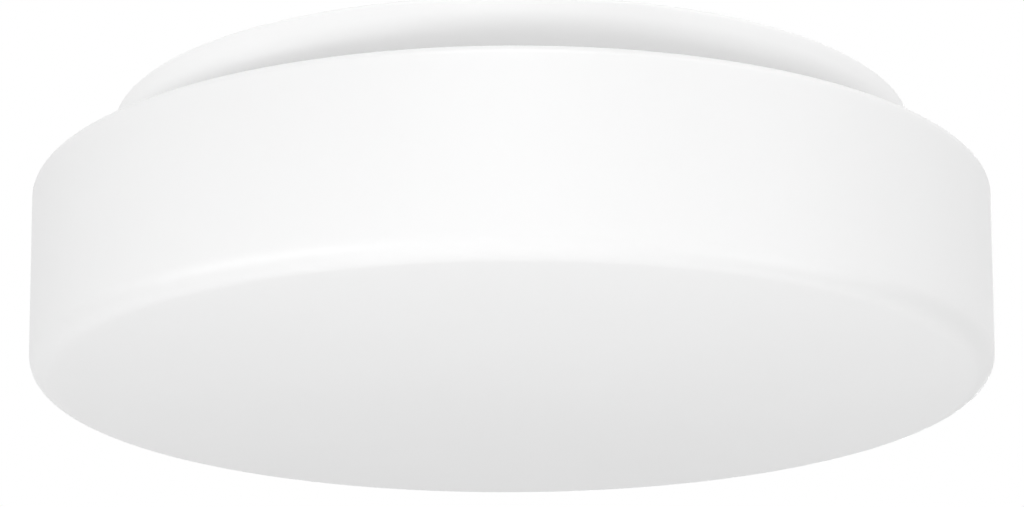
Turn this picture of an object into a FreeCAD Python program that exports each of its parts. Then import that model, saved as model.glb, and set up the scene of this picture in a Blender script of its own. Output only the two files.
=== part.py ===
import FreeCAD, Part
import Sketcher
import math
import os
from FreeCAD import Placement, Rotation, Vector

# Flush mount ceiling light: a pressed steel pan on the ceiling and an opal glass drum under it.
# Millimetres. The origin is the middle of the pan's ceiling face, +Z points into the ceiling,
# and everything hangs down to negative Z. Three lamps lie flat inside, a third of a turn apart.

doc = FreeCAD.newDocument("CeilingLight")
sheet = doc.addObject("Spreadsheet::Sheet", "Sizes")

SIZES = [
    # pan
    ("pan_inset", 23.5, "pan's wall inside the drum's, seen from below"),
    ("pan_depth", 15.0, "ceiling to the underside of the pan's lip"),
    ("pan_sheet", 1.0, "sheet thickness of the pan"),
    ("pan_roll", 10.0, "outside radius of the rolled lower edge"),
    ("pan_corner", 1.6, "outside radius of the corner at the ceiling"),
    ("lip_width", 11.5, "pan's wall to the opening inside its lip"),
    ("pad_radius", 22.0, "flat pad in the middle that touches the ceiling"),
    ("floor_drop", 3.0, "how far the floor stands off the ceiling"),
    ("press_slope", 3.0, "width of the slope between two pressed levels"),
    ("seal_margin", 4.8, "flat strip between the pressed floor's slope and the seal"),
    ("slot_spacing", 120.0, "between the middles of the two fixing slots"),
    ("slot_length", 16.0, "fixing slot, end to end"),
    ("slot_width", 5.5, "fixing slot, across"),
    # glass
    ("drum_radius", 150.0, "outside of the glass at its underside"),
    ("drum_flare", 1.1, "how much wider the drum is at its shoulder"),
    ("drum_height", 60.6, "underside to shoulder"),
    ("shadow_gap", 8.7, "pan lip to the glass's shoulder"),
    ("glass_wall", 3.5, "thickness of the glass"),
    ("drum_edge", 7.2, "outside radius of the lower edge"),
    ("shoulder_edge", 2.9, "outside radius of the upper edge"),
    ("neck_clearance", 1.5, "glass neck to the pan's lip"),
    ("neck_fillet", 3.0, "hollow corner between shoulder and neck"),
    ("inner_fillet", 2.1, "inside corners of shoulder and neck"),
    ("rim_round", 1.0, "both edges of the rim"),
    ("bead_height", 4.0, "rim bead, along the neck"),
    ("bead_depth", 2.2, "rim bead, inwards from the neck's wall"),
    # seal
    ("seal_thick", 2.0, "silicone ring between the rim and the pan"),
    ("seat_gap", 0.2, "rim of the glass to the ring"),
    # catches
    ("clip_sheet", 0.8, "spring steel"),
    ("clip_width", 14.0, "catch, across"),
    ("clip_foot", 20.0, "catch's foot, along the radius"),
    ("clip_grip", 0.5, "nose of the catch to the neck's wall"),
    ("clip_gap", 0.3, "flank of the catch to the bead's corner"),
    ("clip_tail", 10.0, "height of the tail below the nose"),
    ("clip_lead", 5.5, "how far the tail leans back inwards"),
    ("clip_pitch", 7.2, "between a catch's two rivets"),
    ("clip_rivet_edge", 1.5, "end of the catch's foot to its rivets' heads"),
    # rivets
    ("rivet_shank", 1.6, "radius"),
    ("rivet_head", 2.7, "radius"),
    ("rivet_flange", 1.0, "head thickness"),
    ("rivet_play", 0.1, "rivet to its hole, all round"),
    # cross slots of the screws, as shares of their heads
    ("cross_reach", 1.2, "length of a cross slot, of the head's radius"),
    ("cross_width", 0.24, "width of a cross slot, of the head's radius"),
    ("cross_depth", 0.55, "depth of a cross slot, of the head's height"),
    # tray
    ("tray_gap", 11.5, "tray's rim to the catches' noses"),
    ("tray_sheet", 1.0, "sheet thickness"),
    ("tray_rim", 5.0, "height of the turned-up rim"),
    ("tray_edge", 1.8, "outside radius of the tray's edge"),
    ("tray_stand", 16.0, "pan's floor to the tray"),
    ("wire_hole", 7.0, "radius of the three wire holes in the tray"),
    ("wire_hole_place", 18.0, "wire holes from the middle"),
    ("pillar_inset", 10.0, "pillars inside the tray's rim"),
    ("pillar_radius", 4.0, "outside"),
    ("pillar_neck", 2.5, "radius of the riveted end"),
    ("pillar_bore_depth", 11.0, "tapped hole"),
    ("tray_screw_shank", 2.0, "radius"),
    ("tray_screw_head", 4.0, "radius"),
    ("tray_screw_rise", 2.6, "head height"),
    ("tray_screw_length", 9.0, "under the head"),
    ("thread_play", 0.05, "screw to its tapped hole, all round"),
    # lampholders
    ("bracket_place", 24.0, "back of the bracket from the middle"),
    ("bracket_sheet", 1.2, "sheet thickness"),
    ("bracket_width", 28.0, "across"),
    ("bracket_foot", 16.0, "along the radius"),
    ("bracket_leg", 17.5, "down from the tray"),
    ("bracket_rivet_pitch", 19.0, "between its two rivets"),
    ("bracket_rivet_set", 9.9, "its rivets from its back, along the radius"),
    ("window_side", 1.8, "room beside the leads in the bracket's window"),
    ("window_rise", 2.25, "half the height of the bracket's window"),
    ("lamp_drop", 10.5, "tray to the lamp's axis"),
    ("holder_width", 17.0, "ceramic block, across"),
    ("holder_height", 13.0, "ceramic block"),
    ("holder_length", 18.0, "ceramic block, along the radius"),
    ("ear_width", 28.0, "across both ears"),
    ("ear_thick", 6.0, "along the radius"),
    ("holder_round", 0.9, "edges of the holder's face"),
    ("pin_pitch", 9.0, "between the lamp's two pins"),
    ("socket_width", 2.6, "across"),
    ("socket_height", 3.4, "along Z"),
    ("socket_depth", 15.3, "from the holder's face"),
    ("contact_sheet", 0.5, "contact leaf"),
    ("contact_length", 11.0, "contact leaf, along the radius"),
    ("contact_height", 2.4, "contact leaf, along Z"),
    ("holder_screw_pitch", 23.0, "between its two screws"),
    ("holder_screw_shank", 1.5, "radius"),
    ("holder_screw_head", 2.7, "radius"),
    ("holder_screw_rise", 1.8, "head height"),
    ("holder_screw_tail", 1.6, "how far the tip stands out behind the bracket"),
    # lamps
    ("lamp_seat", 0.3, "lamp to the holder's face"),
    ("base_width", 15.0, "lamp base, across"),
    ("base_height", 10.0, "lamp base, along Z"),
    ("base_length", 9.0, "lamp base, along the radius"),
    ("base_round", 3.0, "long edges of the lamp base"),
    ("collar_length", 3.0, "round collar that the capsule sits on"),
    ("capsule_radius", 8.0, "outside"),
    ("capsule_length", 33.0, "along the radius"),
    ("capsule_wall", 0.9, "thickness"),
    ("capsule_dome", 0.98, "rounding of its end, of its radius"),
    ("pin_thick", 1.0, "across"),
    ("pin_height", 2.4, "along Z"),
    ("pin_length", 14.6, "out of the base"),
    ("pin_wire", 0.75, "wire of the loop"),
    # terminal block
    ("block_place", 27.0, "its near face from the middle, along -Y"),
    ("block_depth", 18.0, "along Y"),
    ("block_height", 12.0, "from the pan's floor"),
    ("block_step", 3.6, "how far the two entry ledges are lower"),
    ("block_ledge", 3.4, "length of an entry ledge"),
    ("pole_pitch", 12.0, "between poles"),
    ("pole_bore", 2.1, "radius of the wire entry"),
    ("barrel_length", 13.0, "brass barrel"),
    ("barrel_bore", 1.4, "radius"),
    ("barrel_play", 0.1, "barrel to the housing, all round"),
    ("clamp_pitch", 6.6, "between a pole's two screws"),
    ("clamp_radius", 1.5, "clamping screw"),
    ("clamp_length", 3.0, "clamping screw"),
    ("clamp_play", 0.2, "clamping screw to its well, all round"),
    ("groove_width", 0.6, "driver slot of a clamping screw"),
    ("groove_depth", 0.9, "driver slot of a clamping screw"),
    ("block_screw_head", 2.6, "radius"),
    ("block_screw_rise", 1.8, "head height"),
    # leads
    ("lead_radius", 0.75, "insulated lead"),
    ("lead_bundle", 1.08, "middle of a lead from the middle of its bundle"),
    ("lead_bend", 4.0, "radius of a lead's bends"),
    ("lead_socket", 2.0, "how far a lead goes into the holder"),
    ("lead_play", 0.25, "lead to its hole, all round"),
    ("lead_layer", 1.95, "between two layers of crossing leads"),
    ("lead_top", 2.25, "pan's floor to the middle of the highest lead"),
    # earth
    ("earth_place", 36.0, "earth screw from the middle, along +Y"),
    ("earth_shank", 2.0, "radius"),
    ("earth_head", 4.0, "radius"),
    ("earth_rise", 2.6, "head height"),
    ("tag_radius", 4.2, "ring tag, outside"),
    ("tag_thick", 0.8, "ring tag"),
    ("tag_tail", 8.0, "ring tag's tail from its middle"),
    ("tag_width", 2.25, "tail of the ring tag, across"),
    ("crimp_length", 2.7, "crimped end of the ring tag"),
    ("washer_thick", 0.6, "toothed washer"),
    ("washer_radius", 3.9, "toothed washer"),
    ("washer_teeth", 10, "notches in the toothed washer"),
    ("washer_notch", 0.62, "radius of a notch"),
    # cable entry
    ("entry_gap", 12.0, "terminal block to the middle of the cable entry"),
    ("entry_radius", 7.0, "hole in the pan"),
    ("grommet_bore", 4.5, "radius of the cable's hole"),
    ("grommet_flange", 9.0, "radius of its two flanges"),
    ("grommet_back", 1.4, "flange on the ceiling side"),
    ("grommet_front", 2.0, "flange on the room side"),
    ("grommet_round", 0.9, "edge of the flange on the room side"),
]

for row, (alias, number, note) in enumerate(SIZES, start=1):
    sheet.set(f"A{row}", alias)
    sheet.set(f"B{row}", str(number))
    sheet.set(f"C{row}", note)
    sheet.setAlias(f"B{row}", alias)
doc.recompute()


class Size:
    """A length that knows its number and the formula over the sheet that gives it."""

    def __init__(self, number, formula):
        self.number = number
        self.formula = formula

    def join(self, other, sign, number):
        text = other.formula if isinstance(other, Size) else repr(other)
        return Size(number, f"({self.formula} {sign} {text})")

    def __add__(self, other):
        return self.join(other, "+", self.number + value(other))

    def __sub__(self, other):
        return self.join(other, "-", self.number - value(other))

    def __mul__(self, other):
        return self.join(other, "*", self.number * value(other))

    def __truediv__(self, other):
        return self.join(other, "/", self.number / value(other))

    def __neg__(self):
        return Size(-self.number, f"(0 - {self.formula})")


def value(thing):
    """The plain number of a size."""
    return thing.number if isinstance(thing, Size) else thing


def root(size):
    """The square root of a size."""
    return Size(math.sqrt(size.number), f"sqrt({size.formula})")


s = {alias: Size(float(number), f"Sizes.{alias}") for alias, number, note in SIZES}
NOTHING = Size(0.0, "0")
DIAGONAL = math.sqrt(2)
# How near a point has to lie to count as the one looked for, and how square an edge to an axis.
NEAR = 1e-3
SQUARE = 0.9
# Most of a lead's straight run that a bend may take.
MOST = 0.9
THIRDS = [90, 210, 330]
PILLAR_ANGLES = [30, 150, 270]

# Levels along Z.
floor_top = -s["floor_drop"]
floor_z = floor_top - s["pan_sheet"]
lip_z = -s["pan_depth"]
shoulder_z = lip_z - s["shadow_gap"]
drum_z = shoulder_z - s["drum_height"]
seal_z = -s["pan_sheet"] - s["seal_thick"]
rim_z = seal_z - s["seat_gap"]
bead_z = rim_z - s["bead_height"]
tray_z = floor_z - s["tray_stand"]
tray_under = tray_z - s["tray_sheet"]
lamp_z = tray_under - s["lamp_drop"]

# Radii, each worked out from the one outside it: pan, its mouth, the glass's neck, catches and tray.
pan_radius = s["drum_radius"] - s["pan_inset"]
pan_mouth = pan_radius - s["lip_width"]
neck_outer = pan_mouth - s["neck_clearance"]
neck_inner = neck_outer - s["glass_wall"]
bead_inner = neck_inner - s["bead_depth"]
floor_slope = bead_inner - s["seal_margin"]
floor_radius = floor_slope - s["press_slope"]
nose = neck_inner - s["clip_grip"]
tray_radius = nose - s["tray_gap"]
pillar_place = tray_radius - s["pillar_inset"]

# Places along a lamp's radius.
bracket_front = s["bracket_place"] + s["bracket_sheet"]
ear_front = bracket_front + s["ear_thick"]
holder_front = bracket_front + s["holder_length"]
base_back = holder_front + s["lamp_seat"]
base_front = base_back + s["base_length"]
collar_front = base_front + s["collar_length"]

# The terminal block's place.
block_near = -s["block_place"]
block_far = block_near - s["block_depth"]
block_middle = block_near - s["block_depth"] / 2
block_under = floor_z - s["block_height"]
bore_z = floor_z - s["block_height"] / 2


def bind(thing, **sizes):
    """Sets each property and ties it to the sheet."""
    for name, size in sizes.items():
        setattr(thing, name, value(size))
        if isinstance(size, Size):
            thing.setExpression(name, size.formula)
    return thing


def move(thing, x=0.0, y=0.0, z=0.0, turn=0.0, axis=(0, 0, 1)):
    """Places a finished piece: first turned about an axis through the origin, then shifted."""
    thing.Placement = Placement(Vector(value(x), value(y), value(z)), Rotation(Vector(*axis), turn))
    return thing


def turned(thing, angle):
    """Carries a piece that was built along +X round the middle of the light."""
    about_middle = Placement(Vector(), Rotation(Vector(0, 0, 1), angle))
    thing.Placement = about_middle.multiply(thing.Placement)
    return thing


def body(label):
    """An empty body for one piece."""
    made = doc.addObject("PartDesign::Body", label)
    made.Label = label
    return made


def new_sketch(owner, name, plane, offset=None):
    """An empty sketch on one of the body's own origin planes, shifted along the plane's normal."""
    sketch = owner.newObject("Sketcher::SketchObject", name)
    planes = [f for f in owner.Origin.OriginFeatures if getattr(f, "Role", "") == plane]
    sketch.AttachmentSupport = [(planes[0], "")]
    sketch.MapMode = "FlatFace"
    if offset is not None:
        sketch.AttachmentOffset = Placement(Vector(0, 0, value(offset)), Rotation())
        sketch.setExpression(".AttachmentOffset.Base.z", offset.formula)
    return sketch


def pin_down(sketch, geometry, end, x, y):
    """Holds one point of the sketch at x, y, each tied to the sheet."""
    for kind, size in (("DistanceX", x), ("DistanceY", y)):
        if abs(value(size)) < NEAR:
            axis = -2 if kind == "DistanceX" else -1
            sketch.addConstraint(Sketcher.Constraint("PointOnObject", geometry, end, axis))
            continue
        index = sketch.addConstraint(Sketcher.Constraint(kind, -1, 1, geometry, end, value(size)))
        if isinstance(size, Size):
            sketch.setExpression(f"Constraints[{index}]", size.formula)


def draw_outline(sketch, points):
    """A closed outline of straight lines through the points."""
    first = sketch.GeometryCount
    count = len(points)
    corners = [Vector(value(x), value(y), 0) for x, y in points]
    for i in range(count):
        sketch.addGeometry(Part.LineSegment(corners[i], corners[(i + 1) % count]), False)
    for i in range(count):
        following = first + (i + 1) % count
        sketch.addConstraint(Sketcher.Constraint("Coincident", first + i, 2, following, 1))
    for i, (x, y) in enumerate(points):
        pin_down(sketch, first + i, 1, x, y)


def draw_circle(sketch, x, y, radius):
    """A circle with its centre and radius tied to the sheet."""
    centre = Vector(value(x), value(y), 0)
    index = sketch.addGeometry(Part.Circle(centre, Vector(0, 0, 1), value(radius)), False)
    number = sketch.addConstraint(Sketcher.Constraint("Radius", index, value(radius)))
    sketch.setExpression(f"Constraints[{number}]", radius.formula)
    pin_down(sketch, index, 3, x, y)


def box_outline(x0, x1, y0, y1):
    """The four corners of a rectangle."""
    return [(x0, y0), (x1, y0), (x1, y1), (x0, y1)]


def revolve(owner, name, points, axis="V_Axis"):
    """Turns an outline in the XZ plane a full turn about its vertical or horizontal axis."""
    sketch = new_sketch(owner, name + "Outline", "XZ_Plane")
    draw_outline(sketch, points)
    turn = owner.newObject("PartDesign::Revolution", name)
    turn.Profile = sketch
    turn.ReferenceAxis = (sketch, [axis])
    turn.Angle = 360
    owner.Tip = turn
    doc.recompute()
    return turn


def pad(owner, name, sketch, length, both_ways=False):
    """Adds the sketch's outline as a block, along its normal or half to each side."""
    made = owner.newObject("PartDesign::Pad", name)
    made.Profile = sketch
    bind(made, Length=length)
    if both_ways:
        made.SideType = "Symmetric"
    owner.Tip = made
    doc.recompute()
    return made


def pocket(owner, name, sketch, length=None, backwards=False):
    """Cuts to a depth, or right through in both directions, and checks that it did cut."""
    before = owner.Shape.Volume
    made = owner.newObject("PartDesign::Pocket", name)
    made.Profile = sketch
    if length is None:
        made.Type = "ThroughAll"
        made.SideType = "Symmetric"
    else:
        bind(made, Length=length)
        made.Reversed = backwards
    owner.Tip = made
    doc.recompute()
    if owner.Shape.Volume > before - NEAR:
        raise RuntimeError(f"{name} cuts nothing")
    return made


def fillet(owner, name, edges, radius):
    """Rounds the named edges of the body's last feature."""
    rounded = owner.Tip
    made = owner.newObject("PartDesign::Fillet", name)
    made.Base = (rounded, edges)
    bind(made, Radius=radius)
    owner.Tip = made
    doc.recompute()
    if "Invalid" in made.State:
        raise RuntimeError(f"{owner.Label}: {name} can't be rounded")
    return made


def ring(owner, radius, z):
    """The circular edges of a turned body that have this radius and lie at this level."""
    found = []
    for number, edge in enumerate(owner.Shape.Edges, start=1):
        curve = edge.Curve
        if isinstance(curve, Part.Circle) and abs(curve.Radius - value(radius)) < NEAR:
            if abs(curve.Center.z - value(z)) < NEAR:
                found.append(f"Edge{number}")
    if not found:
        raise RuntimeError(f"{owner.Label} has no ring edge at {value(radius)}, {value(z)}")
    return found


def edges_where(owner, test):
    """The straight or round edges whose middle point and direction pass a test."""
    found = []
    for number, edge in enumerate(owner.Shape.Edges, start=1):
        middle = edge.valueAt((edge.FirstParameter + edge.LastParameter) / 2)
        along = edge.tangentAt((edge.FirstParameter + edge.LastParameter) / 2)
        if test(middle, along):
            found.append(f"Edge{number}")
    if not found:
        raise RuntimeError(f"{owner.Label} has no such edge")
    return found


def polar(place, angle):
    """A point at a radius and an angle, as two sizes."""
    across = Size(place.number * math.cos(math.radians(angle)), f"({place.formula} * cos({angle}))")
    along = Size(place.number * math.sin(math.radians(angle)), f"({place.formula} * sin({angle}))")
    return across, along


def around(place, angle, sideways):
    """As polar, shifted sideways along the circle's tangent."""
    x, y = polar(place, angle)
    side_x, side_y = polar(sideways, angle + 90)
    return x + side_x, y + side_y


def holes(owner, name, circles):
    """Round holes along Z, right through: a list of x, y and radius."""
    sketch = new_sketch(owner, name + "Centres", "XY_Plane")
    for x, y, radius in circles:
        draw_circle(sketch, x, y, radius)
    return pocket(owner, name, sketch)


def cylinder(name, radius, height):
    """A cylinder that stands on the origin."""
    return bind(doc.addObject("Part::Cylinder", name), Radius=radius, Height=height)


def cuboid(name, length, width, height):
    """A box with one corner at the origin."""
    return bind(doc.addObject("Part::Box", name), Length=length, Width=width, Height=height)


def fuse(name, pieces):
    """One solid made of several that touch."""
    made = doc.addObject("Part::MultiFuse", name)
    made.Shapes = pieces
    return made


def cut(name, base, tool):
    """The base without what the tool takes away."""
    made = doc.addObject("Part::Cut", name)
    made.Base = base
    made.Tool = tool
    return made


def group(label, pieces):
    """Alike pieces that share one node, each still a solid of its own."""
    made = doc.addObject("Part::Compound", label)
    made.Label = label
    made.Links = pieces
    return made


def rivet(name, grip):
    """A rivet whose grip starts at the origin and goes down; both heads are alike."""
    head = cylinder(name + "Head", s["rivet_head"], s["rivet_flange"])
    shank = cylinder(name + "Shank", s["rivet_shank"], grip)
    tail = cylinder(name + "Tail", s["rivet_head"], s["rivet_flange"])
    move(shank, z=-grip)
    move(tail, z=-grip - s["rivet_flange"])
    return fuse(name, [head, shank, tail])


def screw(name, head_radius, head_rise, shank_radius, length):
    """A cross-headed screw: head below the origin, shank going up from it."""
    head = move(cylinder(name + "Head", head_radius, head_rise), z=-head_rise)
    shank = cylinder(name + "Shank", shank_radius, length)
    solid = fuse(name + "Solid", [head, shank])
    reach = head_radius * s["cross_reach"]
    wide = head_radius * s["cross_width"]
    deep = head_rise * s["cross_depth"]
    first = cuboid(name + "SlotA", reach, wide, deep)
    second = cuboid(name + "SlotB", wide, reach, deep)
    move(first, x=-reach / 2, y=-wide / 2, z=-head_rise)
    move(second, x=-wide / 2, y=-reach / 2, z=-head_rise)
    return cut(name, solid, fuse(name + "Cross", [first, second]))


nodes = []


def keep(thing):
    """Notes a finished piece for writing."""
    nodes.append(thing)
    return thing


# Ceiling pan: back with a pressed, raised-off floor, wall, rolled lower edge and inward lip.
pan = body("ceiling_pan")
wall_inner = pan_radius - s["pan_sheet"]
pad_slope = s["pad_radius"] + s["press_slope"]
revolve(
    pan,
    "PanShell",
    [
        (NOTHING, NOTHING),
        (s["pad_radius"], NOTHING),
        (pad_slope, floor_top),
        (floor_radius, floor_top),
        (floor_slope, NOTHING),
        (pan_radius, NOTHING),
        (pan_radius, lip_z),
        (pan_mouth, lip_z),
        (pan_mouth, lip_z + s["pan_sheet"]),
        (wall_inner, lip_z + s["pan_sheet"]),
        (wall_inner, -s["pan_sheet"]),
        (floor_slope, -s["pan_sheet"]),
        (floor_radius, floor_z),
        (pad_slope, floor_z),
        (s["pad_radius"], -s["pan_sheet"]),
        (NOTHING, -s["pan_sheet"]),
    ],
)
inner_roll = s["pan_roll"] - s["pan_sheet"]
fillet(pan, "RolledEdgeInside", ring(pan, wall_inner, lip_z + s["pan_sheet"]), inner_roll)
fillet(pan, "RolledEdge", ring(pan, pan_radius, lip_z), s["pan_roll"])
fillet(pan, "CeilingCornerInside", ring(pan, wall_inner, -s["pan_sheet"]), s["pan_corner"] - s["pan_sheet"])
fillet(pan, "CeilingCorner", ring(pan, pan_radius, 0.0), s["pan_corner"])

slot_sketch = new_sketch(pan, "SlotOutlines", "XY_Plane")
slot_straight = s["slot_length"] - s["slot_width"]
for side in (-1, 1):
    middle = s["slot_spacing"] * (side / 2)
    half = s["slot_width"] / 2
    draw_outline(
        slot_sketch,
        box_outline(middle - slot_straight / 2, middle + slot_straight / 2, -half, half),
    )
pocket(pan, "Slots", slot_sketch)
for name, side in (("SlotEndsInner", -1), ("SlotEndsOuter", 1)):
    holes(
        pan,
        name,
        [
            (s["slot_spacing"] * (way / 2) + slot_straight * (side / 2), NOTHING, s["slot_width"] / 2)
            for way in (-1, 1)
        ],
    )

rivet_hole = s["rivet_shank"] + s["rivet_play"]
clip_rivet_place = nose - s["clip_foot"] + s["rivet_head"] + s["clip_rivet_edge"]
clip_rivets = [
    around(clip_rivet_place, angle, s["clip_pitch"] * (side / 2)) for angle in THIRDS for side in (-1, 1)
]
holes(pan, "ClipRivetHoles", [(x, y, rivet_hole) for x, y in clip_rivets])
pillar_points = [polar(pillar_place, angle) for angle in PILLAR_ANGLES]
holes(pan, "PillarHoles", [(x, y, s["pillar_neck"] + s["rivet_play"]) for x, y in pillar_points])
entry_y = block_far - s["entry_gap"]
holes(pan, "CableEntry", [(NOTHING, entry_y, s["entry_radius"])])
block_screw_x = s["pole_pitch"] / 2
holes(
    pan,
    "FittingScrewHoles",
    [
        (block_screw_x, block_middle, s["holder_screw_shank"] + s["thread_play"]),
        (NOTHING, s["earth_place"], s["earth_shank"] + s["thread_play"]),
    ],
)
keep(pan)

# Cable grommet: a spool of rubber snapped into the pan's cable hole.
grommet = body("cable_grommet")
waist = s["entry_radius"] - s["rivet_play"]
revolve(
    grommet,
    "GrommetSpool",
    [
        (s["grommet_bore"], floor_z - s["grommet_front"]),
        (s["grommet_flange"], floor_z - s["grommet_front"]),
        (s["grommet_flange"], floor_z),
        (waist, floor_z),
        (waist, floor_top),
        (s["grommet_flange"], floor_top),
        (s["grommet_flange"], floor_top + s["grommet_back"]),
        (s["grommet_bore"], floor_top + s["grommet_back"]),
    ],
)
fillet(
    grommet,
    "GrommetRound",
    ring(grommet, s["grommet_flange"], floor_z - s["grommet_front"]),
    s["grommet_round"],
)
keep(move(grommet, y=entry_y))

# Glass seal: silicone ring on the pan, over the rim of the glass.
seal = body("glass_seal")
revolve(seal, "SealRing", box_outline(bead_inner, neck_outer, seal_z, -s["pan_sheet"]))
keep(seal)

# Opal drum: flat underside, rounded lower edge, slightly flared wall, shoulder, neck and rim bead.
drum = body("opal_diffuser")
drum_top = s["drum_radius"] + s["drum_flare"]
shoulder_under = shoulder_z - s["glass_wall"]
floor_inside = drum_z + s["glass_wall"]
drum_inner = s["drum_radius"] - s["glass_wall"]
drum_top_inner = drum_top - s["glass_wall"]
revolve(
    drum,
    "DrumShell",
    [
        (NOTHING, drum_z),
        (s["drum_radius"], drum_z),
        (drum_top, shoulder_z),
        (neck_outer, shoulder_z),
        (neck_outer, rim_z),
        (bead_inner, rim_z),
        (bead_inner, bead_z),
        (neck_inner, bead_z - s["bead_depth"] / 2),
        (neck_inner, shoulder_under),
        (drum_top_inner, shoulder_under),
        (drum_inner, floor_inside),
        (NOTHING, floor_inside),
    ],
)
inner_edge = s["drum_edge"] - s["glass_wall"]
fillet(drum, "LowerEdgeInside", ring(drum, drum_inner, floor_inside), inner_edge)
fillet(drum, "LowerEdge", ring(drum, s["drum_radius"], drum_z), s["drum_edge"])
fillet(drum, "UpperEdge", ring(drum, drum_top, shoulder_z), s["shoulder_edge"])
fillet(drum, "NeckCorner", ring(drum, neck_outer, shoulder_z), s["neck_fillet"])
fillet(drum, "NeckCornerInside", ring(drum, neck_inner, shoulder_under), s["inner_fillet"])
fillet(drum, "ShoulderInside", ring(drum, drum_top_inner, shoulder_under), s["inner_fillet"])
fillet(drum, "RimOutside", ring(drum, neck_outer, rim_z), s["rim_round"])
fillet(drum, "RimInside", ring(drum, bead_inner, rim_z), s["rim_round"])
keep(drum)

# Catches: a riveted foot, a flank under the bead, a nose against the neck and a tail that leads in.
foot_end = nose - s["clip_foot"]
# The flank runs at 45 degrees, so the radius plus the level is the same all along it.
flank = bead_inner + bead_z - s["clip_gap"] * DIAGONAL
inner_flank = flank - s["clip_sheet"] * DIAGONAL
nose_z = flank - nose
tail_z = nose_z - s["clip_tail"]
tail_out = nose - s["clip_lead"]
# The tail leans back, so its sheet is a little thicker when it is cut level.
lean = s["clip_lead"] / s["clip_tail"]
tail_inner = tail_out - s["clip_sheet"] * root(lean * lean + 1)
# Where the inner faces of flank and tail meet.
inner_nose = (tail_inner + (inner_flank - tail_z) * lean) / (lean + 1)
foot_under = floor_z - s["clip_sheet"]
for number, angle in enumerate(THIRDS, start=1):
    clip = body(f"glass_clip_{number}")
    strip = new_sketch(clip, "ClipOutline", "XZ_Plane")
    draw_outline(
        strip,
        [
            (foot_end, floor_z),
            (flank - floor_z, floor_z),
            (nose, nose_z),
            (tail_out, tail_z),
            (tail_inner, tail_z),
            (inner_nose, inner_flank - inner_nose),
            (inner_flank - foot_under, foot_under),
            (foot_end, foot_under),
        ],
    )
    pad(clip, "ClipStrip", strip, s["clip_width"], both_ways=True)
    nose_edge = edges_where(
        clip,
        lambda m, t: abs(m.x - value(nose)) < NEAR
        and abs(m.z - value(nose_z)) < NEAR
        and abs(t.y) > SQUARE,
    )
    fillet(clip, "ClipNose", nose_edge, s["clip_sheet"])
    holes(
        clip,
        "ClipHoles",
        [(clip_rivet_place, s["clip_pitch"] * (side / 2), rivet_hole) for side in (-1, 1)],
    )
    keep(turned(clip, angle))

clip_grip = s["pan_sheet"] + s["clip_sheet"]
keep(
    group(
        "clip_rivets",
        [
            move(rivet(f"ClipRivet{i}", clip_grip), x=x, y=y, z=floor_top)
            for i, (x, y) in enumerate(clip_rivets)
        ],
    )
)

# Tray pillars: riveted through the pan's floor, tapped from below.
pillars = []
screws = []
for i, (x, y) in enumerate(pillar_points):
    column = cylinder(f"Pillar{i}Column", s["pillar_radius"], s["tray_stand"])
    move(column, z=tray_z)
    neck = move(cylinder(f"Pillar{i}Neck", s["pillar_neck"], s["pan_sheet"]), z=floor_z)
    head = move(cylinder(f"Pillar{i}Head", s["pillar_radius"], s["rivet_flange"]), z=floor_top)
    bore = cylinder(f"Pillar{i}Bore", s["tray_screw_shank"] + s["thread_play"], s["pillar_bore_depth"])
    move(bore, z=tray_z)
    pillar = cut(f"Pillar{i}", fuse(f"Pillar{i}Solid", [column, neck, head]), bore)
    pillars.append(move(pillar, x=x, y=y))
    tray_screw = screw(
        f"TrayScrew{i}",
        s["tray_screw_head"],
        s["tray_screw_rise"],
        s["tray_screw_shank"],
        s["tray_screw_length"],
    )
    screws.append(move(tray_screw, x=x, y=y, z=tray_under))
keep(group("tray_pillars", pillars))
keep(group("tray_screws", screws))

# Reflector tray: a disc with a turned-up rim.
tray = body("reflector_tray")
tray_inner = tray_radius - s["tray_sheet"]
revolve(
    tray,
    "TrayDish",
    [
        (NOTHING, tray_under),
        (tray_radius, tray_under),
        (tray_radius, tray_under + s["tray_rim"]),
        (tray_inner, tray_under + s["tray_rim"]),
        (tray_inner, tray_z),
        (NOTHING, tray_z),
    ],
)
fillet(tray, "TrayEdgeInside", ring(tray, tray_inner, tray_z), s["tray_edge"] - s["tray_sheet"])
fillet(tray, "TrayEdge", ring(tray, tray_radius, tray_under), s["tray_edge"])
screw_play = s["tray_screw_shank"] + s["rivet_play"] * 2
holes(tray, "TrayScrewHoles", [(x, y, screw_play) for x, y in pillar_points])
bracket_rivet_place = s["bracket_place"] + s["bracket_rivet_set"]
bracket_rivets = [
    around(bracket_rivet_place, angle, s["bracket_rivet_pitch"] * (side / 2))
    for angle in THIRDS
    for side in (-1, 1)
]
holes(tray, "BracketRivetHoles", [(x, y, rivet_hole) for x, y in bracket_rivets])
holes(tray, "WireHoles", [(*polar(s["wire_hole_place"], angle), s["wire_hole"]) for angle in THIRDS])
keep(tray)

bracket_grip = s["tray_sheet"] + s["bracket_sheet"]
keep(
    group(
        "bracket_rivets",
        [
            move(rivet(f"BracketRivet{i}", bracket_grip), x=x, y=y, z=tray_z)
            for i, (x, y) in enumerate(bracket_rivets)
        ],
    )
)

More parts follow.
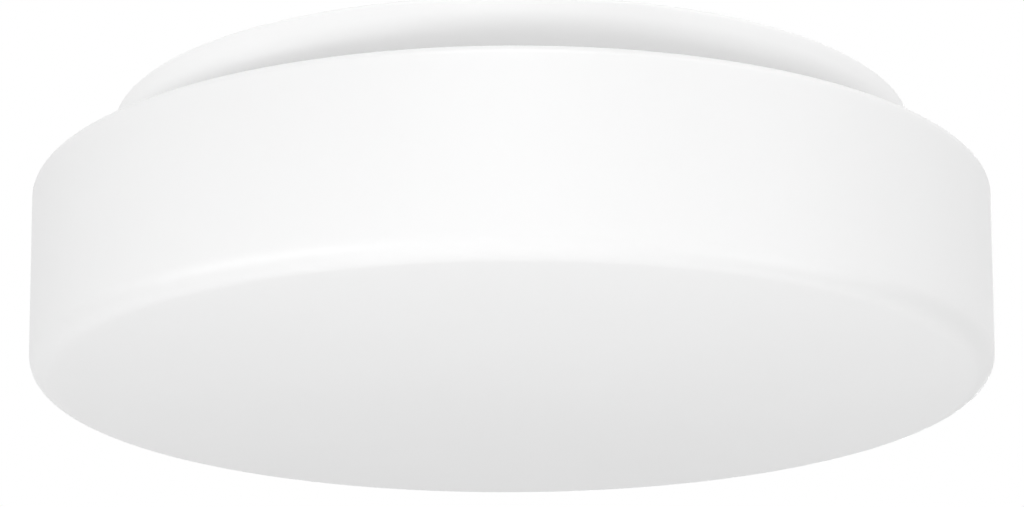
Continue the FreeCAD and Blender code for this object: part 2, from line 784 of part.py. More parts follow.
# Lampholder brackets, holders, contacts and screws, built along +X and turned to their angle.
holder_screws = []
contacts = []
bracket_low = tray_under - s["bracket_leg"]
holder_half = s["holder_width"] / 2
ear_half = s["ear_width"] / 2
socket_back = holder_front - s["socket_depth"]
for number, angle in enumerate(THIRDS, start=1):
    bracket = body(f"holder_bracket_{number}")
    bent = new_sketch(bracket, "BracketOutline", "XZ_Plane")
    foot_tip = s["bracket_place"] + s["bracket_foot"]
    foot_low = tray_under - s["bracket_sheet"]
    draw_outline(
        bent,
        [
            (s["bracket_place"], tray_under),
            (foot_tip, tray_under),
            (foot_tip, foot_low),
            (bracket_front, foot_low),
            (bracket_front, bracket_low),
            (s["bracket_place"], bracket_low),
        ],
    )
    pad(bracket, "BracketStrip", bent, s["bracket_width"], both_ways=True)
    bend = edges_where(
        bracket,
        lambda m, t: abs(m.x - value(s["bracket_place"])) < NEAR
        and abs(m.z - value(tray_under)) < NEAR
        and abs(t.y) > SQUARE,
    )
    fillet(bracket, "BracketBend", bend, s["bracket_sheet"])
    holes(
        bracket,
        "BracketRivetHoles",
        [(bracket_rivet_place, s["bracket_rivet_pitch"] * (side / 2), rivet_hole) for side in (-1, 1)],
    )
    window = new_sketch(bracket, "BracketWindow", "YZ_Plane", s["bracket_place"])
    window_half = s["pin_pitch"] / 2 + s["window_side"]
    window_top = lamp_z + s["window_rise"]
    draw_outline(window, box_outline(-window_half, window_half, lamp_z - s["window_rise"], window_top))
    for side in (-1, 1):
        draw_circle(
            window,
            s["holder_screw_pitch"] * (side / 2),
            lamp_z,
            s["holder_screw_shank"] + s["thread_play"],
        )
    pocket(bracket, "BracketOpenings", window, s["bracket_sheet"], backwards=True)
    keep(turned(bracket, angle))

    holder = body(f"lampholder_{number}")
    plan = new_sketch(holder, "HolderPlan", "XY_Plane", lamp_z)
    draw_outline(
        plan,
        [
            (bracket_front, -ear_half),
            (ear_front, -ear_half),
            (ear_front, -holder_half),
            (holder_front, -holder_half),
            (holder_front, holder_half),
            (ear_front, holder_half),
            (ear_front, ear_half),
            (bracket_front, ear_half),
        ],
    )
    pad(holder, "HolderBlock", plan, s["holder_height"], both_ways=True)
    front_edges = edges_where(
        holder, lambda m, t: abs(m.x - value(holder_front)) < NEAR and abs(t.y) + abs(t.z) > SQUARE
    )
    fillet(holder, "HolderFace", front_edges, s["holder_round"])
    sockets = new_sketch(holder, "HolderSockets", "YZ_Plane", holder_front)
    socket_half = s["socket_width"] / 2
    for side in (-1, 1):
        middle = s["pin_pitch"] * (side / 2)
        draw_outline(
            sockets,
            box_outline(
                middle - socket_half,
                middle + socket_half,
                lamp_z - s["socket_height"] / 2,
                lamp_z + s["socket_height"] / 2,
            ),
        )
    pocket(holder, "Sockets", sockets, s["socket_depth"])
    back = new_sketch(holder, "HolderBack", "YZ_Plane", bracket_front)
    for side in (-1, 1):
        draw_circle(back, s["pin_pitch"] * (side / 2), lamp_z, s["lead_radius"] + s["lead_play"])
    pocket(holder, "LeadHoles", back, s["lead_socket"], backwards=True)
    ears = new_sketch(holder, "EarHoles", "YZ_Plane", bracket_front)
    for side in (-1, 1):
        draw_circle(
            ears,
            s["holder_screw_pitch"] * (side / 2),
            lamp_z,
            s["holder_screw_shank"] + s["rivet_play"],
        )
    pocket(holder, "ScrewHoles", ears, s["ear_thick"], backwards=True)
    keep(turned(holder, angle))

    for side in (-1, 1):
        name = f"HolderScrew{number}{'A' if side < 0 else 'B'}"
        fixing = screw(
            name,
            s["holder_screw_head"],
            s["holder_screw_rise"],
            s["holder_screw_shank"],
            s["ear_thick"] + s["bracket_sheet"] + s["holder_screw_tail"],
        )
        move(fixing, x=ear_front, y=s["holder_screw_pitch"] * (side / 2), z=lamp_z, turn=-90, axis=(0, 1, 0))
        holder_screws.append(turned(fixing, angle))

        leaf_name = f"Contact{number}{'A' if side < 0 else 'B'}"
        leaf = cuboid(leaf_name, s["contact_length"], s["contact_sheet"], s["contact_height"])
        outer_wall = s["pin_pitch"] / 2 + socket_half
        leaf_y = outer_wall - s["contact_sheet"] if side > 0 else -outer_wall
        move(leaf, x=socket_back, y=leaf_y, z=lamp_z - s["contact_height"] / 2)
        contacts.append(turned(leaf, angle))
keep(group("holder_screws", holder_screws))
keep(group("holder_contacts", contacts))

# Lamps: a base block with a round collar, a frosted capsule over the collar and two wire loop pins.
collar_radius = s["capsule_radius"] - s["capsule_wall"] - s["rivet_play"]
for number, angle in enumerate(THIRDS, start=1):
    base = body(f"lamp_base_{number}")
    block = new_sketch(base, "BaseBlock", "YZ_Plane", base_back)
    base_half = s["base_width"] / 2
    draw_outline(
        block,
        box_outline(-base_half, base_half, lamp_z - s["base_height"] / 2, lamp_z + s["base_height"] / 2),
    )
    pad(base, "Base", block, s["base_length"])
    long_edges = edges_where(base, lambda m, t: abs(t.x) > SQUARE)
    fillet(base, "BaseCorners", long_edges, s["base_round"])
    flange = new_sketch(base, "BaseFlange", "YZ_Plane", base_front - s["collar_length"] / 2)
    draw_circle(flange, NOTHING, lamp_z, s["capsule_radius"])
    pad(base, "Flange", flange, s["collar_length"] / 2)
    collar = new_sketch(base, "BaseCollar", "YZ_Plane", base_front)
    draw_circle(collar, NOTHING, lamp_z, collar_radius)
    pad(base, "Collar", collar, s["collar_length"])
    keep(turned(base, angle))

    capsule = body(f"lamp_capsule_{number}")
    bore_radius = s["capsule_radius"] - s["capsule_wall"]
    revolve(
        capsule,
        "CapsuleShell",
        [
            (bore_radius, NOTHING),
            (s["capsule_radius"], NOTHING),
            (s["capsule_radius"], s["capsule_length"]),
            (NOTHING, s["capsule_length"]),
            (NOTHING, s["capsule_length"] - s["capsule_wall"]),
            (bore_radius, s["capsule_length"] - s["capsule_wall"]),
        ],
    )
    inside_end = s["capsule_length"] - s["capsule_wall"]
    tip = ring(capsule, s["capsule_radius"], s["capsule_length"])
    fillet(capsule, "Dome", tip, s["capsule_radius"] * s["capsule_dome"])
    fillet(capsule, "DomeInside", ring(capsule, bore_radius, inside_end), bore_radius * s["capsule_dome"])
    move(capsule, x=base_front, z=lamp_z, turn=90, axis=(0, 1, 0))
    keep(turned(capsule, angle))

    pins = []
    for side in (-1, 1):
        name = f"Pin{number}{'A' if side < 0 else 'B'}"
        bar = cuboid(name + "Bar", s["pin_length"], s["pin_thick"], s["pin_height"])
        eye_length = s["pin_length"] - s["pin_wire"] * 2
        eye_height = s["pin_height"] - s["pin_wire"] * 2
        eye = cuboid(name + "Eye", eye_length, s["pin_thick"], eye_height)
        move(eye, x=s["pin_wire"], z=s["pin_wire"])
        loop = cut(name, bar, eye)
        loop_y = s["pin_pitch"] * (side / 2) - s["pin_thick"] / 2
        move(loop, x=base_back - s["pin_length"], y=loop_y, z=lamp_z - s["pin_height"] / 2)
        pins.append(turned(loop, angle))
    keep(group(f"lamp_pins_{number}", pins))

# Terminal block: housing with lower entry ledges, three wire bores and two screw wells a pole.
block = body("terminal_block")
profile = new_sketch(block, "BlockProfile", "YZ_Plane")
ledge_z = block_under + s["block_step"]
draw_outline(
    profile,
    [
        (block_near, floor_z),
        (block_near, ledge_z),
        (block_near - s["block_ledge"], ledge_z),
        (block_near - s["block_ledge"], block_under),
        (block_far + s["block_ledge"], block_under),
        (block_far + s["block_ledge"], ledge_z),
        (block_far, ledge_z),
        (block_far, floor_z),
    ],
)
pad(block, "BlockHousing", profile, s["pole_pitch"] * 3, both_ways=True)
bores = new_sketch(block, "PoleBores", "XZ_Plane")
poles = [s["pole_pitch"] * way for way in (-1, 0, 1)]
for pole in poles:
    draw_circle(bores, pole, bore_z, s["pole_bore"])
pocket(block, "WireBores", bores)
well_radius = s["clamp_radius"] + s["clamp_play"]
wells = new_sketch(block, "ScrewWellCentres", "XY_Plane", block_under)
clamp_points = [(pole, block_middle + s["clamp_pitch"] * (side / 2)) for pole in poles for side in (-1, 1)]
for x, y in clamp_points:
    draw_circle(wells, x, y, well_radius)
pocket(block, "ScrewWells", wells, s["block_height"] / 2, backwards=True)
fixing_hole = new_sketch(block, "FixingWell", "XY_Plane", block_under)
head_room = s["block_screw_head"] + s["clamp_play"]
draw_circle(fixing_hole, block_screw_x, block_middle, head_room)
pocket(block, "FixingWell", fixing_hole, s["block_height"] / 2, backwards=True)
holes(
    block, "FixingHole", [(block_screw_x, block_middle, s["holder_screw_shank"] + s["rivet_play"])]
)
keep(block)

barrels = []
barrel_radius = s["pole_bore"] - s["barrel_play"]
for i, pole in enumerate(poles):
    tube = cut(
        f"Barrel{i}",
        cylinder(f"Barrel{i}Rod", barrel_radius, s["barrel_length"]),
        cylinder(f"Barrel{i}Bore", s["barrel_bore"], s["barrel_length"]),
    )
    move(tube, x=pole, y=block_middle + s["barrel_length"] / 2, z=bore_z, turn=90, axis=(1, 0, 0))
    barrels.append(tube)
keep(group("terminal_barrels", barrels))

clamps = []
clamp_top = bore_z - barrel_radius
for i, (x, y) in enumerate(clamp_points):
    stud = cylinder(f"Clamp{i}Stud", s["clamp_radius"], s["clamp_length"])
    groove = cuboid(f"Clamp{i}Groove", s["clamp_radius"] * 3, s["groove_width"], s["groove_depth"])
    move(groove, x=-s["clamp_radius"] * 3 / 2, y=-s["groove_width"] / 2)
    grub = cut(f"Clamp{i}", stud, groove)
    clamps.append(move(grub, x=x, y=y, z=clamp_top - s["clamp_length"]))
keep(group("terminal_screws", clamps))

block_screw_seat = block_under + s["block_height"] / 2
block_screw_length = s["block_height"] / 2 + s["pan_sheet"] + s["rivet_flange"]
block_screw = screw(
    "terminal_fixing_screw",
    s["block_screw_head"],
    s["block_screw_rise"],
    s["holder_screw_shank"],
    block_screw_length,
)
block_screw.Label = "terminal_fixing_screw"
keep(move(block_screw, x=block_screw_x, y=block_middle, z=block_screw_seat))

# Earth connection: toothed washer, ring tag and screw on the pan's floor.
washer = body("earth_washer")
washer_under = floor_z - s["washer_thick"]
washer_disc = new_sketch(washer, "WasherDisc", "XY_Plane", washer_under)
draw_circle(washer_disc, NOTHING, NOTHING, s["washer_radius"])
draw_circle(washer_disc, NOTHING, NOTHING, s["earth_shank"] + s["rivet_play"])
pad(washer, "Washer", washer_disc, s["washer_thick"])
teeth = int(value(s["washer_teeth"]))
notches = [
    (*polar(s["washer_radius"], 360 / teeth * (i + 0.5)), s["washer_notch"]) for i in range(teeth)
]
holes(washer, "WasherTeeth", notches)
keep(move(washer, y=s["earth_place"]))

tag = body("earth_tag")
tag_under = washer_under - s["tag_thick"]
tag_plan = new_sketch(tag, "TagRing", "XY_Plane", tag_under)
draw_circle(tag_plan, NOTHING, NOTHING, s["tag_radius"])
pad(tag, "Tag", tag_plan, s["tag_thick"])
tail_half = s["tag_width"] / 2
tag_tail = new_sketch(tag, "TagTail", "XY_Plane", tag_under)
draw_outline(tag_tail, box_outline(-tail_half, tail_half, -s["tag_tail"], NOTHING))
pad(tag, "Tail", tag_tail, s["tag_thick"])
holes(tag, "TagHole", [(NOTHING, NOTHING, s["earth_shank"] + s["rivet_play"])])
crimp = new_sketch(tag, "TagCrimp", "XZ_Plane", s["tag_tail"])
crimp_radius = s["lead_radius"] + s["tag_thick"]
crimp_z = washer_under - crimp_radius
draw_circle(crimp, NOTHING, crimp_z, crimp_radius)
pad(tag, "Crimp", crimp, s["crimp_length"])
keep(move(tag, y=s["earth_place"]))

earth_length = s["washer_thick"] + s["tag_thick"] + s["pan_sheet"] + s["rivet_flange"]
earth_screw = screw("earth_screw", s["earth_head"], s["earth_rise"], s["earth_shank"], earth_length)
earth_screw.Label = "earth_screw"
keep(move(earth_screw, y=s["earth_place"], z=tag_under))


def lead(name, points):
    """An insulated lead: straight runs joined by tangent arcs, round in section."""
    radius = value(s["lead_radius"])
    bend = value(s["lead_bend"])
    runs = []
    start = points[0]
    for i in range(1, len(points) - 1):
        before = (points[i - 1] - points[i]).normalize()
        after = (points[i + 1] - points[i]).normalize()
        half_turn = (math.pi - before.getAngle(after)) / 2
        shorter = min((points[i] - start).Length, (points[i + 1] - points[i]).Length / 2)
        reach = min(bend * math.tan(half_turn), shorter * MOST)
        arc_radius = reach / math.tan(half_turn)
        entry = points[i] + before * reach
        leave = points[i] + after * reach
        centre_way = (before + after).normalize()
        centre = points[i] + centre_way * math.hypot(reach, arc_radius)
        crown = centre - centre_way * arc_radius
        runs.append(Part.LineSegment(start, entry).toShape())
        runs.append(Part.Arc(entry, crown, leave).toShape())
        start = leave
    runs.append(Part.LineSegment(start, points[-1]).toShape())
    path = Part.Wire(runs)
    along = (points[1] - points[0]).normalize()
    section = Part.Wire([Part.Circle(points[0], along, radius).toShape()])
    solid = path.makePipeShell([section], True, False, 2)
    expected = math.pi * radius**2 * path.Length
    if abs(solid.Volume - expected) > expected * NEAR:
        raise RuntimeError(f"{name} has the wrong volume")
    made = doc.addObject("Part::Feature", name)
    made.Shape = solid
    return made


def bundle_offset(place):
    """Places of the three leads of one pole: left, right and low, as in a triangle."""
    angle = {"left": 150, "right": 30, "low": 270}[place]
    reach = value(s["lead_bundle"])
    return reach * math.cos(math.radians(angle)), reach * math.sin(math.radians(angle))


def lamp_lead(name, angle, side, pole, place, layer):
    """From the back of a holder through the tray's wire hole and on to a pole of the block."""
    spin = Rotation(Vector(0, 0, 1), angle)
    sideways = value(s["pin_pitch"]) / 2 * side
    behind = spin.multVec(Vector(value(bracket_front + s["lead_socket"]), sideways, value(lamp_z)))
    under_hole = spin.multVec(Vector(value(s["wire_hole_place"]), sideways, value(lamp_z)))
    over_hole = Vector(under_hole.x, under_hole.y, layer)
    shift_x, shift_z = bundle_offset(place)
    bore_x = value(s["pole_pitch"]) * pole + shift_x
    approach_y = value(block_near) + value(s["lead_bend"]) * 2
    approach = Vector(bore_x, approach_y, value(bore_z) + shift_z)
    end_y = value(block_middle) + value(s["barrel_length"]) / 2
    return lead(name, [behind, under_hole, over_hole, approach, Vector(bore_x, end_y, approach.z)])


upper = value(bore_z) + bundle_offset("left")[1]
lower = value(bore_z) + bundle_offset("low")[1]
step = value(s["lead_layer"])
over_all = value(floor_z) - value(s["lead_top"])
keep(
    group(
        "live_leads",
        [
            lamp_lead("LiveLead1", 90, 1, -1, "low", lower),
            lamp_lead("LiveLead2", 210, 1, -1, "left", upper),
            lamp_lead("LiveLead3", 330, 1, -1, "right", over_all),
        ],
    )
)
keep(
    group(
        "neutral_leads",
        [
            lamp_lead("NeutralLead1", 90, -1, 1, "left", lower - step),
            lamp_lead("NeutralLead2", 210, -1, 1, "low", lower - step * 2),
            lamp_lead("NeutralLead3", 330, -1, 1, "right", lower - step),
        ],
    )
)
# The earth lead runs level under the crossing leads and climbs to the tag beyond them.
tag_end = value(s["earth_place"]) - value(s["tag_tail"]) - value(s["crimp_length"])
climb_end = tag_end - value(s["lead_bend"]) * 2
climb_start = climb_end - value(s["lead_bend"]) * 2
earth_lead = lead(
    "earth_lead",
    [
        Vector(0, value(block_middle) + value(s["barrel_length"]) / 2, value(bore_z)),
        Vector(0, climb_start, value(bore_z)),
        Vector(0, climb_end, value(crimp_z)),
        Vector(0, tag_end, value(crimp_z)),
    ],
)
earth_lead.Label = "earth_lead"
keep(earth_lead)

doc.recompute()

faults = [f"{thing.Name}: {thing.State}" for thing in doc.Objects if {"Invalid", "Error"} & set(thing.State)]
for node in nodes:
    if node.Shape.isNull() or not node.Shape.isValid():
        faults.append(f"{node.Label}: bad shape")
if faults:
    raise RuntimeError("; ".join(faults))

os.makedirs("parts", exist_ok=True)
for node in nodes:
    node.Shape.exportStep(f"parts/{node.Label}.step")
    print(f"{node.Label}: {len(node.Shape.Solids)} solids, {node.Shape.Volume:.1f} mm3")
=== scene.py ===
"""Looks of a flush mount ceiling light: an opal glass drum under a white pressed steel pan.

Metres in Blender, millimetres in the sizes below. The ceiling is z = 0 and everything hangs
below it. Lamp 1 points along +Y and the cable comes in towards -Y.
"""

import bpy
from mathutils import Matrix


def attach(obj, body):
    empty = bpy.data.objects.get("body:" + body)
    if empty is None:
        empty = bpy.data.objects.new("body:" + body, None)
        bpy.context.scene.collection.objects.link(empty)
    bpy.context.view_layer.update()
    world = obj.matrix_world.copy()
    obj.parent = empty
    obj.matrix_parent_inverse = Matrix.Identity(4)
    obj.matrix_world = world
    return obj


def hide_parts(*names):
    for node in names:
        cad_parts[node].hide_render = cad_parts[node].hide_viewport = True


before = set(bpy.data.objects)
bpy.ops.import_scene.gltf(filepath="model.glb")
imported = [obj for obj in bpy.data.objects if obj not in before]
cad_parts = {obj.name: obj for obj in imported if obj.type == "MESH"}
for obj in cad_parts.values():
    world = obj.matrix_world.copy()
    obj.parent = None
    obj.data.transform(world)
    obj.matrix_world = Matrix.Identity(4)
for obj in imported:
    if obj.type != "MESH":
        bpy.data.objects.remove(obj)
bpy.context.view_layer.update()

import logging
import math
from dataclasses import dataclass, field
from enum import Enum
from functools import cache
from typing import ClassVar, Iterable, Sequence

import bmesh
import bpy
import numpy as np
from mathutils import Matrix, Vector

log = logging.getLogger("ceiling_light")

MM = 0.001
FULL_TURN = 2.0 * math.pi
THIRDS = (90.0, 210.0, 330.0)
PILLAR_ANGLES = (30.0, 150.0, 270.0)
SHARP_ANGLE = math.radians(35.0)
# Points closer than this, in metres, are one: in the new meshes, and in the CAD nodes' triangles.
WELD = 1e-7
CAD_WELD = 1e-6
# Steps of a small hole's circle, and of a larger one.
HOLE_STEPS = 24
ROUND_STEPS = 48
WHITE = (1.0, 1.0, 1.0, 1.0)
# Places of a colour mix's sockets, which share their names with those of other kinds.
MIX_FIRST, MIX_SECOND, MIX_RESULT = 6, 7, 2
FLOAT, COLOUR = "NodeSocketFloat", "NodeSocketColor"
# Range that most values of a noise lie in.
NOISE_SPREAD = (0.3, 0.7)

Colour = tuple[float, float, float]
# X and Y on the light, and a section's corner: r, z and its rounding, 0 for a sharp one.
Place = tuple[float, float]
Corner = tuple[float, float, float]


class Body(Enum):
    """The moving bodies of the light, by their names in the frame."""

    FITTING = "fitting"
    DIFFUSER = "diffuser"
    LAMP_1 = "lamp_1"
    LAMP_2 = "lamp_2"
    LAMP_3 = "lamp_3"


class Mode(Enum):
    """Ways of mixing two heights or masks."""

    ADD = "ADD"
    MULTIPLY = "MULTIPLY"
    MAXIMUM = "MAXIMUM"


# Surfaces


@dataclass
class Surface:
    """Vertices in millimetres and the faces between them, as whole arrays.

    Attributes:
        points: Array of shape (n, 3).
        faces: Lists of vertex numbers, each face turned outwards.
    """

    points: np.ndarray
    faces: list[list[int]]

    def moved(self, offset: Sequence[float] = (0.0, 0.0, 0.0), turn: float = 0.0) -> "Surface":
        """Shifts the surface and then turns it about Z.

        Args:
            offset: Shift in millimetres, before the turn.
            turn: Degrees about Z.

        Returns:
            A new surface.
        """
        along, across = math.cos(math.radians(turn)), math.sin(math.radians(turn))
        spin = np.array([[along, -across, 0.0], [across, along, 0.0], [0.0, 0.0, 1.0]])
        return Surface((self.points + np.asarray(offset, float)) @ spin.T, self.faces)

    def laid_along_x(self) -> "Surface":
        """Turns what stood along +Z so that it lies along +X."""
        x, y, z = self.points.T
        return Surface(np.stack([z, y, -x], axis=-1), self.faces)


def joined(surfaces: Iterable[Surface]) -> Surface:
    """Puts several surfaces into one, their faces numbered on.

    Args:
        surfaces: The surfaces to join.

    Returns:
        One surface that holds them all.
    """
    points, faces, start = [], [], 0
    for surface in surfaces:
        points.append(surface.points)
        faces += [[index + start for index in face] for face in surface.faces]
        start += len(surface.points)
    return Surface(np.concatenate(points), faces)


def rounded(corners: Sequence[Corner], steps: int = 8, closed: bool = False) -> np.ndarray:
    """A line through corners in which each corner is an arc tangent to both sides.

    With u and v the directions to the neighbours and h half the angle between them, the arc's
    centre lies on u + v at radius / sin(h), and it touches the sides at radius / tan(h). Over a
    swing of w it goes from first to last as (sin((1 - s) w) first + sin(s w) last) / sin(w).

    Args:
        corners: The line's corners.
        steps: Pieces of each arc.
        closed: True for a loop, False for an open line whose ends stay sharp.

    Returns:
        Array of shape (n, 2).
    """
    places = np.array([corner[:2] for corner in corners], float)
    count = len(places)
    line = []
    for i, (place, corner) in enumerate(zip(places, corners)):
        radius = corner[2]
        at_end = not closed and i in (0, count - 1)
        if radius <= 0.0 or at_end:
            line.append(place[None, :])
            continue
        u = places[i - 1] - place
        v = places[(i + 1) % count] - place
        u, v = u / np.linalg.norm(u), v / np.linalg.norm(v)
        half = math.acos(float(np.clip(u @ v, -1.0, 1.0))) / 2.0
        middle = (u + v) / np.linalg.norm(u + v)
        centre = place + middle * radius / math.sin(half)
        first = place + u * radius / math.tan(half) - centre
        last = place + v * radius / math.tan(half) - centre
        swing = math.pi - 2.0 * half
        share = np.linspace(0.0, 1.0, steps + 1)[:, None]
        arc = np.sin((1.0 - share) * swing) * first + np.sin(share * swing) * last
        line.append(centre + arc / math.sin(swing))
    return np.concatenate(line)


def divided(line: np.ndarray, longest: float, closed: bool = False) -> np.ndarray:
    """Adds points so that no piece of a line is longer than a limit.

    The line's length is walked at its own corners and at even steps between them.

    Args:
        line: Array of shape (n, 2).
        longest: Longest piece allowed.
        closed: True if the last point joins the first.

    Returns:
        Array of shape (m, 2).
    """
    ends = np.concatenate([line, line[:1]]) if closed else line
    lengths = np.linalg.norm(np.diff(ends, axis=0), axis=1)
    pieces = np.maximum(1, np.ceil(lengths / longest).astype(int))
    shares = [np.linspace(0.0, 1.0, number, endpoint=False) for number in pieces]
    starts = np.repeat(ends[:-1], pieces, axis=0)
    ways = np.repeat(np.diff(ends, axis=0), pieces, axis=0)
    walked = starts + ways * np.concatenate(shares)[:, None]
    return walked if closed else np.concatenate([walked, ends[-1:]])


def grid_faces(rows: int, columns: int, row_loop: bool, column_loop: bool) -> list[list[int]]:
    """The four-sided faces of a grid of points numbered row by row.

    Args:
        rows: Number of rows.
        columns: Number of points in a row.
        row_loop: True if the last row joins the first.
        column_loop: True if each row is a loop.

    Returns:
        Lists of four vertex numbers.
    """
    i = np.arange(rows if row_loop else rows - 1)[:, None]
    j = np.arange(columns if column_loop else columns - 1)[None, :]
    below, beside = (i + 1) % rows, (j + 1) % columns
    corners = [(i, j), (below, j), (below, beside), (i, beside)]
    quads = np.stack([row * columns + column for row, column in corners], axis=-1)
    return quads.reshape(-1, 4).tolist()


def lathe(profile: np.ndarray, segments: int, loop: bool) -> Surface:
    """Turns a profile of r and z about Z: x = r cos a, y = r sin a, z = z for a full turn of a.

    Args:
        profile: Array of shape (n, 2); an open one starts and ends on the axis.
        segments: Steps of the turn.
        loop: True if the profile is a closed loop, as of a ring.

    Returns:
        The closed surface.
    """
    angle = np.linspace(0.0, FULL_TURN, segments, endpoint=False)[:, None]
    r, z = profile.T
    level = np.broadcast_to(z, (segments, len(z)))
    points = np.stack([r * np.cos(angle), r * np.sin(angle), level], axis=-1)
    return Surface(points.reshape(-1, 3), grid_faces(segments, len(profile), True, loop))


def prism(outline: np.ndarray, low: float, high: float) -> Surface:
    """A flat outline in X and Y carried straight up, closed by one face at each end.

    Args:
        outline: Array of shape (n, 2), one loop.
        low: Lower level.
        high: Upper level.

    Returns:
        The closed surface.
    """
    count = len(outline)
    levels = np.repeat([low, high], count)[:, None]
    points = np.concatenate([np.tile(outline, (2, 1)), levels], axis=1)
    sides = grid_faces(2, count, False, True)
    ends = [list(range(count)), list(range(2 * count - 1, count - 1, -1))]
    return Surface(points, sides + ends)


def disc_outline(
    radius: float, x: float = 0.0, y: float = 0.0, steps: int = ROUND_STEPS
) -> np.ndarray:
    """A circle: the middle plus the radius times cosine and sine of the angle."""
    angle = np.linspace(0.0, FULL_TURN, steps, endpoint=False)
    return np.stack([x + radius * np.cos(angle), y + radius * np.sin(angle)], axis=-1)


def slot_outline(length: float, width: float, x: float, y: float, steps: int = 64) -> np.ndarray:
    """A slot along X: a circle of half the width whose halves are pulled apart to the length.

    Args:
        length: The slot, end to end.
        width: The slot, across.
        x: Its middle along X.
        y: Its middle along Y.
        steps: Pieces of its outline.

    Returns:
        Array of shape (steps, 2).
    """
    angle = np.linspace(0.0, FULL_TURN, steps, endpoint=False) + math.pi / steps
    pull = np.sign(np.cos(angle)) * (length - width) / 2.0
    radius = width / 2.0
    return np.stack([x + pull + radius * np.cos(angle), y + radius * np.sin(angle)], axis=-1)


def polar(radius: float, angle: float, sideways: float = 0.0) -> Place:
    """A place at a radius and an angle, shifted along the circle's tangent.

    Args:
        radius: Distance from the middle.
        angle: Degrees about Z.
        sideways: Shift along the tangent.

    Returns:
        X and Y.
    """
    along, across = math.cos(math.radians(angle)), math.sin(math.radians(angle))
    return radius * along - sideways * across, radius * across + sideways * along


def pairs(radius: float, angles: Sequence[float], pitch: float) -> list[Place]:
    """Two places at each angle, a pitch apart along the tangent."""
    return [polar(radius, angle, side * pitch) for angle in angles for side in (-0.5, 0.5)]


def holes(radius: float, places: Iterable[Place], steps: int = HOLE_STEPS) -> list[np.ndarray]:
    """Circles of one radius at several places."""
    return [disc_outline(radius, x, y, steps) for x, y in places]


# Pieces


def mesh_from(name: str, surface: Surface) -> bpy.types.Mesh:
    """Makes a closed, outward facing mesh in metres from a surface.

    Args:
        name: The mesh's name.
        surface: Points in millimetres and faces.

    Returns:
        The mesh, its doubled points merged and its faces shaded smooth up to the sharp angle.
    """
    mesh = bpy.data.meshes.new(name)
    mesh.from_pydata(surface.points * MM, [], surface.faces)
    shape = bmesh.new()
    shape.from_mesh(mesh)
    bmesh.ops.remove_doubles(shape, verts=shape.verts, dist=WELD)
    bmesh.ops.dissolve_degenerate(shape, edges=shape.edges, dist=WELD)
    bmesh.ops.recalc_face_normals(shape, faces=shape.faces)
    shape.to_mesh(mesh)
    shape.free()
    shade(mesh)
    return mesh


def shade(mesh: bpy.types.Mesh) -> None:
    """Shades a mesh smooth and marks the edges over the sharp angle.

    Args:
        mesh: The mesh, changed in place.
    """
    mesh.polygons.foreach_set("use_smooth", np.ones(len(mesh.polygons), bool))
    mesh.set_sharp_from_angle(angle=SHARP_ANGLE)
    mesh.update()


def linked(name: str, mesh: bpy.types.Mesh) -> bpy.types.Object:
    """Puts a mesh into the scene as an object at the origin.

    Args:
        name: The object's name.
        mesh: Its mesh.

    Returns:
        The object.
    """
    made = bpy.data.objects.new(name, mesh)
    bpy.context.scene.collection.objects.link(made)
    return made


def finished_mesh(obj: bpy.types.Object) -> None:
    """Replaces an object's mesh by the one that its modifiers give, and drops the modifiers.

    Args:
        obj: The object, changed in place.
    """
    bpy.context.view_layer.update()
    evaluated = obj.evaluated_get(bpy.context.evaluated_depsgraph_get())
    made = bpy.data.meshes.new_from_object(evaluated)
    obj.modifiers.clear()
    old = obj.data
    obj.data = made
    bpy.data.meshes.remove(old)


def pierce(obj: bpy.types.Object, cutters: Sequence[Surface]) -> None:
    """Cuts openings into a piece and keeps the result in its mesh.

    Args:
        obj: The piece.
        cutters: Closed surfaces, none touching another.
    """
    tool = linked(obj.name + "_cutter", mesh_from(obj.name + "_cutter", joined(cutters)))
    step = obj.modifiers.new("openings", "BOOLEAN")
    step.operation = "DIFFERENCE"
    step.solver = "EXACT"
    step.object = tool
    finished_mesh(obj)
    bpy.data.objects.remove(tool)
    shade(obj.data)


def soften(obj: bpy.types.Object, width: float, segments: int = 2) -> None:
    """Rounds a piece's sharp edges.

    Args:
        obj: The piece.
        width: Width of the rounding in millimetres.
        segments: Steps across it.
    """
    step = obj.modifiers.new("edges", "BEVEL")
    step.width = width * MM
    step.segments = segments
    step.limit_method = "ANGLE"
    step.angle_limit = SHARP_ANGLE
    step.harden_normals = True


def coat(obj: bpy.types.Object, finish: "Finish") -> None:
    """Gives an object its finish's material and no other."""
    obj.data.materials.clear()
    obj.data.materials.append(finish.material())


def place(
    name: str,
    surface: Surface,
    finish: "Finish",
    body: Body,
    nodes: Sequence[str],
    cutters: Sequence[Surface] = (),
) -> bpy.types.Object:
    """Makes a new piece that stands for CAD nodes and rides on their body.

    Args:
        name: The piece's name.
        surface: Its closed surface.
        finish: Its finish, which also names the record's slot.
        body: The body that it moves with.
        nodes: The CAD nodes that it stands for.
        cutters: Closed surfaces to cut out of it.

    Returns:
        The piece.
    """
    obj = linked(name, mesh_from(name, surface))
    if cutters:
        pierce(obj, cutters)
    coat(obj, finish)
    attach(obj, body.value)
    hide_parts(*nodes)
    log.info("%s: %d faces", name, len(obj.data.polygons))
    return obj


